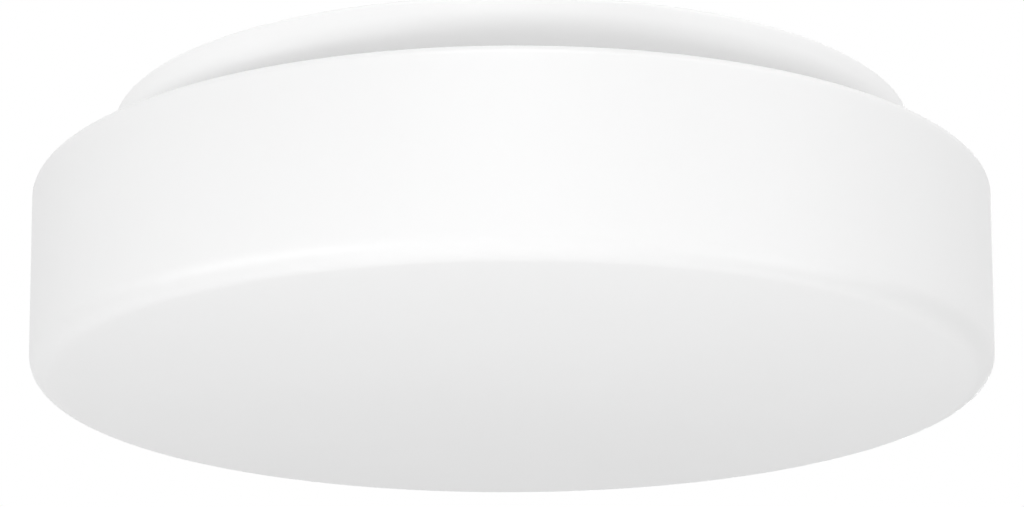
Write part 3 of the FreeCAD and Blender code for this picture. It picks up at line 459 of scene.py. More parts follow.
def dress(node: str, finish: "Finish", edge: float = 0.0) -> bpy.types.Object:
    """Gives a CAD node its finish and shades it smooth between its sharp edges.

    Args:
        node: The node's name.
        finish: Its finish.
        edge: Width in millimetres by which its sharp edges are rounded, 0 for none.

    Returns:
        The node's object.
    """
    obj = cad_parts[node]
    coat(obj, finish)
    obj.data.polygons.foreach_set("material_index", np.zeros(len(obj.data.polygons), np.int32))
    obj.data.polygons.foreach_set("use_smooth", np.ones(len(obj.data.polygons), bool))
    weld = obj.modifiers.new("weld", "WELD")
    weld.merge_threshold = CAD_WELD
    if edge > 0.0:
        soften(obj, edge)
    else:
        split = obj.modifiers.new("sharp_edges", "EDGE_SPLIT")
        split.split_angle = SHARP_ANGLE
    log.info("%s: dressed in %s", node, finish.slot)
    return obj


# Finishes. Depths and reaches are in millimetres; of the scales, a larger one is finer.


class NodeKit:
    """Short calls for building a shader's nodes."""

    def __init__(self, tree: bpy.types.NodeTree) -> None:
        """Keeps the tree that nodes are added to."""
        self.tree = tree

    def add(self, kind: str, **sockets: object) -> bpy.types.Node:
        """Adds a node and fills or links its inputs.

        Args:
            kind: The node's type name.
            **sockets: Input names, with underscores for spaces, and a value or a socket each.

        Returns:
            The node.
        """
        return self.fill(self.tree.nodes.new(kind), **sockets)

    def fill(self, node: bpy.types.Node, **sockets: object) -> bpy.types.Node:
        """Fills or links a node's inputs.

        Args:
            node: The node.
            **sockets: Input names, with underscores for spaces, and a value or a socket each.

        Returns:
            The node.
        """
        for name, given in sockets.items():
            self.feed(node.inputs[name.replace("_", " ")], given)
        return node

    def feed(self, entry: bpy.types.NodeSocket, given: object) -> None:
        """Links a socket to an input, or sets the input to a value.

        Args:
            entry: The input.
            given: A socket or a plain value.
        """
        if isinstance(given, bpy.types.NodeSocket):
            self.tree.links.new(given, entry)
        else:
            entry.default_value = given

    def maths(self, mode: Mode, first: object, second: object) -> bpy.types.NodeSocket:
        """Joins two numbers.

        Args:
            mode: The way of joining them.
            first: A socket or a number.
            second: A socket or a number.

        Returns:
            The socket that gives the result.
        """
        node = self.tree.nodes.new("ShaderNodeMath")
        node.operation = mode.value
        self.feed(node.inputs[0], first)
        self.feed(node.inputs[1], second)
        return node.outputs[0]

    def span(
        self, given: object, low: float, high: float, to_low: object = 0.0, to_high: object = 1.0
    ) -> bpy.types.NodeSocket:
        """Maps a number evenly from one range to another, held inside it.

        Args:
            given: The number's socket.
            low: Start of its own range.
            high: End of its own range.
            to_low: What the start becomes, a number or a socket.
            to_high: What the end becomes.

        Returns:
            The socket that gives the result.
        """
        ends = {"From_Min": low, "From_Max": high, "To_Min": to_low, "To_Max": to_high}
        return self.add("ShaderNodeMapRange", Value=given, **ends).outputs[0]

    def on_piece(self) -> bpy.types.NodeSocket:
        """The place on the piece, in the piece's own coordinates."""
        return self.add("ShaderNodeTexCoord").outputs["Object"]

    def noise(
        self, scale: object, detail: float, where: bpy.types.NodeSocket | None = None
    ) -> bpy.types.NodeSocket:
        """Soft noise over the piece.

        Args:
            scale: Its scale, a number or a socket.
            detail: How many finer layers it has.
            where: The place that it reads, the piece's own coordinates if left out.

        Returns:
            The socket that gives the noise, about 0.5 in the middle.
        """
        spot = self.on_piece() if where is None else where
        made = self.add("ShaderNodeTexNoise", Vector=spot, Scale=scale, Detail=detail)
        return made.outputs["Fac"]

    def blend(self, share: object, first: object, second: object) -> bpy.types.NodeSocket:
        """Mixes two colours.

        Args:
            share: Share of the second one.
            first: A colour or its socket.
            second: A colour or its socket.

        Returns:
            The socket that gives the mixed colour.
        """
        mix = self.add("ShaderNodeMix")
        mix.data_type = "RGBA"
        self.feed(mix.inputs["Factor"], share)
        self.feed(mix.inputs[MIX_FIRST], first)
        self.feed(mix.inputs[MIX_SECOND], second)
        return mix.outputs[MIX_RESULT]

    def group(self, tree: bpy.types.NodeTree, **sockets: object) -> bpy.types.Node:
        """Places a node group and fills its inputs.

        Args:
            tree: The group's tree.
            **sockets: Input names, with underscores for spaces, and a value each.

        Returns:
            The group's node.
        """
        node = self.add("ShaderNodeGroup")
        node.node_tree = tree
        return self.fill(node, **sockets)

    def bump(self, shader: bpy.types.Node, height: bpy.types.NodeSocket, depth: float) -> None:
        """Bends a shader's normal by a height.

        Args:
            shader: The shader.
            height: The height, from 0 to 1.
            depth: What a height of 1 is, in millimetres.
        """
        node = self.add("ShaderNodeBump", Height=height, Strength=1.0, Distance=depth * MM)
        self.fill(shader, Normal=node.outputs[0])


def new_group(
    name: str, entries: Sequence[tuple[str, str, object]], exits: Sequence[tuple[str, str]]
) -> tuple[bpy.types.NodeTree, NodeKit, bpy.types.Node, bpy.types.Node]:
    """Starts a shader node group with named inputs and outputs.

    Args:
        name: The group's name.
        entries: Name, socket type and default of each input.
        exits: Name and socket type of each output.

    Returns:
        The tree, its kit, the inside input node and the inside output node.
    """
    tree = bpy.data.node_groups.new(name, "ShaderNodeTree")
    for label, kind, default in entries:
        socket = tree.interface.new_socket(label, in_out="INPUT", socket_type=kind)
        socket.default_value = default
    for label, kind in exits:
        tree.interface.new_socket(label, in_out="OUTPUT", socket_type=kind)
    return tree, NodeKit(tree), tree.nodes.new("NodeGroupInput"), tree.nodes.new("NodeGroupOutput")


@cache
def cloud_group(low: float = 0.35, high: float = 0.65) -> bpy.types.NodeTree:
    """The group "clouding": a colour that drifts softly between two tones over the piece.

    Args:
        low: Noise level below which the first tone is whole.
        high: Noise level above which the other tone has its full share.

    Returns:
        The group's tree, built once.
    """
    tree, kit, inside, out = new_group(
        "clouding",
        [
            ("Tone", COLOUR, (0.9, 0.9, 0.9, 1.0)),
            ("Other Tone", COLOUR, (0.85, 0.85, 0.85, 1.0)),
            ("Scale", FLOAT, 20.0),
            ("Amount", FLOAT, 0.5),
        ],
        [("Color", COLOUR), ("Mask", FLOAT)],
    )
    noise = kit.noise(inside.outputs["Scale"], detail=3.0)
    mask = kit.span(noise, low, high)
    share = kit.maths(Mode.MULTIPLY, mask, inside.outputs["Amount"])
    drift = kit.blend(share, inside.outputs["Tone"], inside.outputs["Other Tone"])
    kit.feed(out.inputs["Color"], drift)
    kit.feed(out.inputs["Mask"], mask)
    return tree


@cache
def grain_group() -> bpy.types.NodeTree:
    """The group "grain": fine and broad unevenness of a surface, as a height.

    Returns:
        The group's tree, built once.
    """
    tree, kit, inside, out = new_group(
        "grain",
        [("Fine Scale", FLOAT, 1500.0), ("Broad Scale", FLOAT, 80.0), ("Broad Share", FLOAT, 0.3)],
        [("Height", FLOAT), ("Fine", FLOAT)],
    )
    fine = kit.noise(inside.outputs["Fine Scale"], detail=2.0)
    broad = kit.noise(inside.outputs["Broad Scale"], detail=1.0)
    swell = kit.maths(Mode.MULTIPLY, broad, inside.outputs["Broad Share"])
    kit.feed(out.inputs["Height"], kit.maths(Mode.ADD, fine, swell))
    kit.feed(out.inputs["Fine"], fine)
    return tree


@cache
def brushing_group(stretch: float = 0.04) -> bpy.types.NodeTree:
    """The group "brushing": fine scratches, noise stretched along the piece's Z.

    Args:
        stretch: Scale of the noise along Z, of its scale across.

    Returns:
        The group's tree, built once.
    """
    tree, kit, inside, out = new_group(
        "brushing",
        [("Scale", FLOAT, 900.0), ("Low", FLOAT, 0.25), ("High", FLOAT, 0.45)],
        [("Roughness", FLOAT), ("Height", FLOAT)],
    )
    drawn = kit.add("ShaderNodeMapping", Vector=kit.on_piece(), Scale=(1.0, 1.0, stretch))
    noise = kit.noise(inside.outputs["Scale"], detail=4.0, where=drawn.outputs[0])
    rough = kit.span(noise, 0.0, 1.0, inside.outputs["Low"], inside.outputs["High"])
    kit.feed(out.inputs["Roughness"], rough)
    kit.feed(out.inputs["Height"], noise)
    return tree


@cache
def dust_group(tilted: float = 0.55, level: float = 0.95, least: float = 0.2) -> bpy.types.NodeTree:
    """The group "settled_dust": how much dust lies on faces that look up, in soft patches.

    Args:
        tilted: Upward share of a face's normal at which dust starts to stay.
        level: Upward share at which it lies in full.
        least: Share of dust between the patches.

    Returns:
        The group's tree, built once.
    """
    tree, kit, inside, out = new_group(
        "settled_dust", [("Scale", FLOAT, 60.0), ("Amount", FLOAT, 0.2)], [("Mask", FLOAT)]
    )
    normal = kit.add("ShaderNodeNewGeometry").outputs["Normal"]
    facing = kit.add("ShaderNodeSeparateXYZ", Vector=normal)
    upward = kit.span(facing.outputs["Z"], tilted, level)
    noise = kit.noise(inside.outputs["Scale"], detail=5.0)
    patch = kit.span(noise, *NOISE_SPREAD, least, 1.0)
    mask = kit.maths(Mode.MULTIPLY, upward, patch)
    kit.feed(out.inputs["Mask"], kit.maths(Mode.MULTIPLY, mask, inside.outputs["Amount"]))
    return tree


@dataclass(frozen=True)
class Finish:
    """What every finish has: the record's slot it belongs to and the tones of its surface.

    Attributes:
        slot: Name of the record's material slot.
        tone: Main colour.
        other_tone: The colour it drifts to.
        roughness: Plain roughness.
        cloud_scale: Scale of the drift.
        cloud_amount: Strength of the drift.
    """

    slot: str
    tone: Colour
    other_tone: Colour
    roughness: float = 0.4
    cloud_scale: float = 20.0
    cloud_amount: float = 0.5

    def material(self) -> bpy.types.Material:
        """Gives the finish's material, built on its first use.

        Returns:
            The material, named after the slot.
        """
        known = bpy.data.materials.get("finish_" + self.slot)
        if known:
            return known
        made = bpy.data.materials.new("finish_" + self.slot)
        made.use_nodes = True
        made.node_tree.nodes.clear()
        kit = NodeKit(made.node_tree)
        shader = kit.add("ShaderNodeBsdfPrincipled", Roughness=self.roughness)
        kit.add("ShaderNodeOutputMaterial", Surface=shader.outputs[0])
        clouds = kit.group(
            cloud_group(),
            Tone=(*self.tone, 1.0),
            Other_Tone=(*self.other_tone, 1.0),
            Scale=self.cloud_scale,
            Amount=self.cloud_amount,
        )
        kit.fill(shader, Base_Color=clouds.outputs["Color"])
        self.surface(kit, shader, clouds)
        return made

    def surface(self, kit: NodeKit, shader: bpy.types.Node, clouds: bpy.types.Node) -> None:
        """Adds what sets this finish apart.

        Args:
            kit: The material's kit.
            shader: Its Principled shader.
            clouds: The node that gives its drifting colour.
        """


@dataclass(frozen=True)
class Opal(Finish):
    """Etched opal glass: white in the body, satin on the skin, a faint waviness from blowing."""

    depth: float = 0.0015
    fine_scale: float = 2200.0
    wave_scale: float = 25.0
    wave_share: float = 2.0
    satin_drift: float = 0.03
    skin_ior: float = 1.5
    body_weight: float = 0.2
    body_reach: float = 2.0

    def surface(self, kit: NodeKit, shader: bpy.types.Node, clouds: bpy.types.Node) -> None:
        """Lets light into the body and makes the skin satin.

        Args:
            kit: The material's kit.
            shader: Its Principled shader.
            clouds: The node that gives its drifting colour.
        """
        low, high = self.roughness - self.satin_drift, self.roughness + self.satin_drift
        kit.fill(
            shader,
            IOR=self.skin_ior,
            Subsurface_Weight=self.body_weight,
            Subsurface_Radius=WHITE[:3],
            Subsurface_Scale=self.body_reach * MM,
            Roughness=kit.span(clouds.outputs["Mask"], 0.0, 1.0, low, high),
        )
        grain = kit.group(
            grain_group(),
            Fine_Scale=self.fine_scale,
            Broad_Scale=self.wave_scale,
            Broad_Share=self.wave_share,
        )
        kit.bump(shader, grain.outputs["Height"], self.depth)


@dataclass(frozen=True)
class Paint(Finish):
    """Baked paint or powder coat on steel: fine orange peel and a little dust on top."""

    peel: float = 0.004
    peel_scale: float = 900.0
    dust: float = 0.15
    dust_tone: Colour = (0.70, 0.69, 0.66)

    def surface(self, kit: NodeKit, shader: bpy.types.Node, clouds: bpy.types.Node) -> None:
        """Adds orange peel, and dust that dulls and greys faces that look up.

        Args:
            kit: The material's kit.
            shader: Its Principled shader.
            clouds: The node that gives its drifting colour.
        """
        dust = kit.group(dust_group(), Amount=self.dust).outputs["Mask"]
        kit.fill(
            shader,
            Base_Color=kit.blend(dust, clouds.outputs["Color"], (*self.dust_tone, 1.0)),
            Roughness=kit.maths(Mode.ADD, dust, self.roughness),
        )
        grain = kit.group(grain_group(), Fine_Scale=self.peel_scale)
        kit.bump(shader, grain.outputs["Height"], self.peel)


@dataclass(frozen=True)
class Metal(Finish):
    """Bare or plated metal with fine drawing lines."""

    low: float = 0.22
    high: float = 0.42
    line_scale: float = 1200.0
    line_depth: float = 0.002

    def surface(self, kit: NodeKit, shader: bpy.types.Node, clouds: bpy.types.Node) -> None:
        """Makes it metallic and brushes it.

        Args:
            kit: The material's kit.
            shader: Its Principled shader.
            clouds: The node that gives its drifting colour.
        """
        lines = kit.group(brushing_group(), Scale=self.line_scale, Low=self.low, High=self.high)
        kit.fill(shader, Metallic=1.0, Roughness=lines.outputs["Roughness"])
        kit.bump(shader, lines.outputs["Height"], self.line_depth)


@dataclass(frozen=True)
class Moulding(Finish):
    """Plastic, rubber or ceramic: an even body with a fine skin."""

    skin: float = 0.003
    skin_scale: float = 1600.0
    skin_drift: float = 0.05
    body_weight: float = 0.0
    body_reach: float = 1.0
    reach_by_colour: Colour = (1.0, 0.9, 0.8)
    coat: float = 0.0
    coat_roughness: float = 0.15

    def surface(self, kit: NodeKit, shader: bpy.types.Node, clouds: bpy.types.Node) -> None:
        """Adds the skin's grain, a glaze if it has one, and light in the body.

        Args:
            kit: The material's kit.
            shader: Its Principled shader.
            clouds: The node that gives its drifting colour.
        """
        grain = kit.group(grain_group(), Fine_Scale=self.skin_scale)
        low, high = self.roughness - self.skin_drift, self.roughness + self.skin_drift
        kit.fill(
            shader,
            Subsurface_Weight=self.body_weight,
            Subsurface_Radius=self.reach_by_colour,
            Subsurface_Scale=self.body_reach * MM,
            Coat_Weight=self.coat,
            Coat_Roughness=self.coat_roughness,
            Roughness=kit.span(grain.outputs["Fine"], *NOISE_SPREAD, low, high),
        )
        kit.bump(shader, grain.outputs["Height"], self.skin)


@dataclass(frozen=True)
class EarthSleeve(Moulding):
    """Green insulation with a yellow stripe that winds round the lead."""

    stripe: Colour = (0.78, 0.62, 0.05)
    stripe_scale: float = 110.0
    stripe_slant: float = 35.0
    stripe_edge: tuple[float, float] = (0.48, 0.52)

    def surface(self, kit: NodeKit, shader: bpy.types.Node, clouds: bpy.types.Node) -> None:
        """Lays slanting stripes over the green.

        Args:
            kit: The material's kit.
            shader: Its Principled shader.
            clouds: The node that gives its drifting colour.
        """
        super().surface(kit, shader, clouds)
        turn = (0.0, 0.0, math.radians(self.stripe_slant))
        slant = kit.add("ShaderNodeMapping", Vector=kit.on_piece(), Rotation=turn)
        wave = kit.add("ShaderNodeTexWave", Vector=slant.outputs[0], Scale=self.stripe_scale)
        mask = kit.span(wave.outputs["Fac"], *self.stripe_edge)
        striped = kit.blend(mask, clouds.outputs["Color"], (*self.stripe, 1.0))
        kit.fill(shader, Base_Color=striped)


OPAL_GLASS = Opal(
    "opal_glass", (0.897, 0.897, 0.897), (0.887, 0.887, 0.887), roughness=0.42, cloud_scale=12.0
)
PAN_PAINT = Paint("pan_paint", (0.955, 0.955, 0.955), (0.945, 0.945, 0.945), roughness=0.4)
TRAY_PAINT = Paint("tray_paint", (0.92, 0.92, 0.91), (0.90, 0.90, 0.885), roughness=0.3, dust=0.1)
SEAL_SILICONE = Moulding(
    "seal_silicone", (0.84, 0.84, 0.82), (0.80, 0.80, 0.77), roughness=0.5, body_weight=0.5
)
SPRING_STEEL = Metal("spring_steel", (0.56, 0.57, 0.59), (0.48, 0.49, 0.52), low=0.18, high=0.34)
RIVET_METAL = Metal("rivet_metal", (0.78, 0.78, 0.79), (0.70, 0.70, 0.71), low=0.25, high=0.4)
ZINC_STEEL = Metal(
    "zinc_steel", (0.64, 0.66, 0.68), (0.58, 0.59, 0.62), low=0.2, high=0.38, cloud_scale=180.0
)
BRACKET_STEEL = Metal("bracket_steel", (0.66, 0.67, 0.68), (0.60, 0.61, 0.64), low=0.28, high=0.45)
HOLDER_CERAMIC = Moulding(
    "holder_ceramic",
    (0.88, 0.86, 0.81),
    (0.84, 0.82, 0.77),
    roughness=0.55,
    cloud_scale=160.0,
    body_weight=0.2,
    coat=0.25,
    coat_roughness=0.3,
)
CONTACT_METAL = Metal("contact_metal", (0.76, 0.68, 0.46), (0.70, 0.62, 0.40))
LAMP_BASE_PLASTIC = Moulding(
    "lamp_base_plastic", (0.91, 0.91, 0.90), (0.89, 0.89, 0.875), roughness=0.25, body_weight=0.1
)
CAPSULE_FROST = Opal(
    "capsule_frost",
    (0.94, 0.94, 0.92),
    (0.92, 0.92, 0.90),
    roughness=0.45,
    body_weight=0.6,
    body_reach=3.0,
)
PIN_METAL = Metal("pin_metal", (0.80, 0.80, 0.80), (0.74, 0.74, 0.74), low=0.12, high=0.25)
BLOCK_PLASTIC = Moulding("block_plastic", (0.86, 0.86, 0.83), (0.83, 0.83, 0.80), roughness=0.42)
BARREL_BRASS = Metal("barrel_brass", (0.80, 0.66, 0.34), (0.72, 0.58, 0.28))
LEAD_BROWN = Moulding("lead_brown", (0.24, 0.11, 0.05), (0.20, 0.09, 0.04), roughness=0.35)
LEAD_BLUE = Moulding("lead_blue", (0.05, 0.17, 0.48), (0.04, 0.14, 0.42), roughness=0.35)
LEAD_EARTH = EarthSleeve("lead_earth", (0.10, 0.36, 0.06), (0.08, 0.31, 0.05), roughness=0.35)
GROMMET_RUBBER = Moulding(
    "grommet_rubber", (0.035, 0.035, 0.035), (0.05, 0.05, 0.05), roughness=0.6
)


# Sub-assemblies. All their sizes are in millimetres, as on the solids.


@dataclass
class TurnedPiece:
    """A piece whose section is turned about Z, which each kind of piece fills in.

    Attributes:
        name: The piece's name.
        node: The CAD node that it stands for.
        finish: Its finish.
        body: The body that it moves with.
        ring: True if its section is a closed loop, off the axis.
        segments: Steps of the turn.
        arc_steps: Steps of each rounding.
        longest: Longest step along the section.
    """

    name: ClassVar[str]
    node: ClassVar[str]
    finish: ClassVar[Finish]
    body: ClassVar[Body] = Body.FITTING
    ring: ClassVar[bool] = False
    segments: int = 360
    arc_steps: int = 12
    longest: float = 12.0

    def corners(self) -> list[Corner]:
        """The section's corners, in the order round it."""
        raise NotImplementedError

    def openings(self) -> list[Surface]:
        """The tools that cut its openings, none unless a kind of piece has some."""
        return []

    def surface(self) -> Surface:
        """Rounds and divides the section and turns it.

        Returns:
            The closed surface.
        """
        line = rounded(self.corners(), self.arc_steps, self.ring)
        return lathe(divided(line, self.longest, self.ring), self.segments, self.ring)

    def build(self) -> bpy.types.Object:
        """Makes the piece in its finish.

        Returns:
            The piece.
        """
        cutters = self.openings()
        return place(self.name, self.surface(), self.finish, self.body, [self.node], cutters)


@dataclass
class CeilingPan(TurnedPiece):
    """The pressed pan: back, wall, rolled lower edge and inward lip, with its openings."""

    name: ClassVar[str] = "ceiling_pan_pressing"
    node: ClassVar[str] = "ceiling_pan"
    finish: ClassVar[Finish] = PAN_PAINT

    radius: float = 126.5
    depth: float = 15.0
    sheet: float = 1.0
    roll: float = 10.0
    corner: float = 1.6
    mouth: float = 115.0
    lip_round: float = 0.35
    pad_radius: float = 22.0
    floor_radius: float = 100.0
    floor_drop: float = 3.0
    slope: float = 3.0
    press_round: float = 1.6
    slot_spacing: float = 120.0
    slot_length: float = 16.0
    slot_width: float = 5.5
    entry_place: float = 57.0
    entry_radius: float = 7.0
    clip_rivet_place: float = 93.7
    clip_rivet_pitch: float = 7.2
    rivet_hole: float = 1.7
    pillar_place: float = 88.0
    pillar_hole: float = 2.6
    block_screw: tuple[Place, float] = ((6.0, -36.0), 1.55)
    earth_screw: tuple[Place, float] = ((0.0, 36.0), 2.05)

    def corners(self) -> list[Corner]:
        """The sheet's section, from the axis on the ceiling side round to the axis below.

        Returns:
            The corners in order.
        """
        t, low, press = self.sheet, -self.floor_drop, self.press_round
        return [
            (0.0, 0.0, 0.0),
            (self.pad_radius, 0.0, press + t),
            (self.pad_radius + self.slope, low, press),
            (self.floor_radius, low, press),
            (self.floor_radius + self.slope, 0.0, press + t),
            (self.radius, 0.0, self.corner),
            (self.radius, -self.depth, self.roll),
            (self.mouth, -self.depth, self.lip_round),
            (self.mouth, t - self.depth, self.lip_round),
            (self.radius - t, t - self.depth, self.roll - t),
            (self.radius - t, -t, self.corner - t),
            (self.floor_radius + self.slope, -t, press),
            (self.floor_radius, low - t, press + t),
            (self.pad_radius + self.slope, low - t, press + t),
            (self.pad_radius, -t, press),
            (0.0, -t, 0.0),
        ]

    def catch_rivet_places(self) -> list[Place]:
        """The places of the six rivets of the catches."""
        return pairs(self.clip_rivet_place, THIRDS, self.clip_rivet_pitch)

    def openings(self) -> list[Surface]:
        """The tools that cut the slots, the cable entry and the small holes.

        Returns:
            Closed surfaces that reach through the floor.
        """
        half = self.slot_spacing / 2.0
        pillars = [polar(self.pillar_place, angle) for angle in PILLAR_ANGLES]
        outlines = [
            *(slot_outline(self.slot_length, self.slot_width, x, 0.0) for x in (-half, half)),
            *holes(self.entry_radius, [(0.0, -self.entry_place)], ROUND_STEPS),
            *holes(self.rivet_hole, self.catch_rivet_places()),
            *holes(self.pillar_hole, pillars),
        ]
        for spot, radius in (self.block_screw, self.earth_screw):
            outlines += holes(radius, [spot])
        return [prism(outline, -self.depth / 2.0, self.sheet) for outline in outlines]


@dataclass
class OpalDrum(TurnedPiece):
    """The glass: flat underside, rounded lower edge, flared wall, shoulder, neck and rim bead."""

    name: ClassVar[str] = "opal_drum_glass"
    node: ClassVar[str] = "opal_diffuser"
    finish: ClassVar[Finish] = OPAL_GLASS
    body: ClassVar[Body] = Body.DIFFUSER

    radius: float = 150.0
    flare: float = 1.1
    underside: float = -84.3
    shoulder: float = -23.7
    wall: float = 3.5
    lower_edge: float = 7.2
    upper_edge: float = 2.9
    neck_radius: float = 113.5
    neck_fillet: float = 3.0
    inner_fillet: float = 2.1
    rim: float = -3.2
    rim_round: float = 1.0
    bead_height: float = 4.0
    bead_depth: float = 2.2
    bead_corner: float = 0.5
    bead_root: float = 0.8
    arc_steps: int = 14
    longest: float = 6.0

    def corners(self) -> list[Corner]:
        """The glass's section, from the axis below, round the outside and back inside.

        Returns:
            The corners in order.
        """
        inner_neck = self.neck_radius - self.wall
        bead = inner_neck - self.bead_depth
        bead_low = self.rim - self.bead_height
        under_shoulder = self.shoulder - self.wall
        inside_low = self.underside + self.wall
        top, inside_top = self.radius + self.flare, self.radius + self.flare - self.wall
        return [
            (0.0, self.underside, 0.0),
            (self.radius, self.underside, self.lower_edge),
            (top, self.shoulder, self.upper_edge),
            (self.neck_radius, self.shoulder, self.neck_fillet),
            (self.neck_radius, self.rim, self.rim_round),
            (bead, self.rim, self.rim_round),
            (bead, bead_low, self.bead_corner),
            (inner_neck, bead_low - self.bead_depth / 2.0, self.bead_root),
            (inner_neck, under_shoulder, self.inner_fillet),
            (inside_top, under_shoulder, self.inner_fillet),
            (self.radius - self.wall, inside_low, self.lower_edge - self.wall),
            (0.0, inside_low, 0.0),
        ]


@dataclass
class GlassSeal(TurnedPiece):
    """The silicone ring that the rim closes on, with two soft ribs on its lower face."""

    name: ClassVar[str] = "glass_seal_ring"
    node: ClassVar[str] = "glass_seal"
    finish: ClassVar[Finish] = SEAL_SILICONE
    ring: ClassVar[bool] = True

    inner: float = 107.8
    outer: float = 113.5
    top: float = -1.0
    low: float = -3.0
    groove: float = 0.5
    groove_shares: tuple[float, float, float] = (0.36, 0.5, 0.64)
    groove_round: float = 0.3
    rib_round: float = 0.4
    lower_round: float = 0.5
    upper_round: float = 0.2
    segments: int = 240
    arc_steps: int = 5

    def corners(self) -> list[Corner]:
        """The ring's section, one loop.

        Returns:
            The corners in order.
        """
        width = self.outer - self.inner
        start, middle, end = (self.inner + width * share for share in self.groove_shares)
        return [
            (self.inner, self.top, self.upper_round),
            (self.inner, self.low, self.lower_round),
            (start, self.low, self.rib_round),
            (middle, self.low + self.groove, self.groove_round),
            (end, self.low, self.rib_round),
            (self.outer, self.low, self.lower_round),
            (self.outer, self.top, self.upper_round),
        ]


@dataclass
class CableGrommet(TurnedPiece):
    """The rubber spool in the cable's hole, both flanges rounded."""

    name: ClassVar[str] = "cable_grommet_spool"
    node: ClassVar[str] = "cable_grommet"
    finish: ClassVar[Finish] = GROMMET_RUBBER
    ring: ClassVar[bool] = True

    place_y: float = -57.0
    bore: float = 4.5
    flange: float = 9.0
    waist: float = 6.9
    levels: tuple[float, float, float, float] = (-1.6, -3.0, -4.0, -6.0)
    bore_round: float = 0.5
    room_round: float = 0.9
    ceiling_round: float = 0.6
    sheet_round: float = 0.2
    segments: int = 96
    arc_steps: int = 6

    def corners(self) -> list[Corner]:
        """The spool's section, one loop.

        Returns:
            The corners in order.
        """
        top, upper, lower, low = self.levels
        return [
            (self.bore, top, self.bore_round),
            (self.bore, low, self.bore_round),
            (self.flange, low, self.room_round),
            (self.flange, lower, self.sheet_round),
            (self.waist, lower, 0.0),
            (self.waist, upper, 0.0),
            (self.flange, upper, self.sheet_round),
            (self.flange, top, self.ceiling_round),
        ]

    def surface(self) -> Surface:
        """The spool, moved to the cable's hole."""
        return super().surface().moved((0.0, self.place_y, 0.0))


@dataclass
class GlassCatch:
    """A bent spring catch: foot, flank under the bead, nose and a tail that leads the glass in."""

    foot_end: float = 89.5
    nose: float = 109.5
    sheet: float = 0.8
    width: float = 14.0
    gap: float = 0.3
    tail: float = 10.0
    lean: float = 5.5
    floor: float = -4.0
    bead_radius: float = 107.8
    bead_low: float = -7.2
    foot_bends: tuple[float, float] = (1.4, 0.6)
    nose_bend: float = 0.4
    tip_round: float = 0.2
    rivet_place: float = 93.7
    rivet_pitch: float = 7.2
    rivet_hole: float = 1.7
    edge: float = 0.12

    def outline(self) -> np.ndarray:
        """The strip's side view: r and z, its bends rounded.

        The flank runs at 45 degrees, so r + z is the same all along each of its faces. It stands
        a gap off the bead's corner, where r + z is the bead's radius plus its low level.

        Returns:
            Array of r and z, one loop.
        """
        diagonal = math.sqrt(2.0)
        flank = self.bead_radius + self.bead_low - self.gap * diagonal
        inner_flank = flank - self.sheet * diagonal
        nose_z = flank - self.nose
        tail_z = nose_z - self.tail
        slope = self.lean / self.tail
        tail_out = self.nose - self.lean
        tail_in = tail_out - self.sheet * math.hypot(1.0, slope)
        inner_nose = (tail_in + (inner_flank - tail_z) * slope) / (1.0 + slope)
        under = self.floor - self.sheet
        outer_bend, inner_bend = self.foot_bends
        return rounded(
            [
                (self.foot_end, self.floor, 0.0),
                (flank - self.floor, self.floor, outer_bend),
                (self.nose, nose_z, self.sheet),
                (tail_out, tail_z, self.tip_round),
                (tail_in, tail_z, self.tip_round),
                (inner_nose, inner_flank - inner_nose, self.nose_bend),
                (inner_flank - under, under, inner_bend),
                (self.foot_end, under, 0.0),
            ],
            closed=True,
        )

    def strip(self) -> Surface:
        """The outline carried across the strip's width, from -width / 2 to width / 2 along Y.

        Returns:
            The closed surface along +X.
        """
        flat = prism(self.outline(), -self.width / 2.0, self.width / 2.0)
        r, z, across = flat.points.T
        return Surface(np.stack([r, across, z], axis=-1), flat.faces)

    def build(self, number: int, angle: float) -> bpy.types.Object:
        """Makes one catch in spring steel.

        Args:
            number: The catch's number, from 1.
            angle: Where it stands, in degrees.

        Returns:
            The piece.
        """
        outlines = holes(self.rivet_hole, pairs(self.rivet_place, [angle], self.rivet_pitch))
        made = place(
            f"glass_catch_{number}",
            self.strip().moved(turn=angle),
            SPRING_STEEL,
            Body.FITTING,
            [f"glass_clip_{number}"],
            [prism(outline, self.floor * 2.0, 0.0) for outline in outlines],
        )
        soften(made, self.edge)
        return made


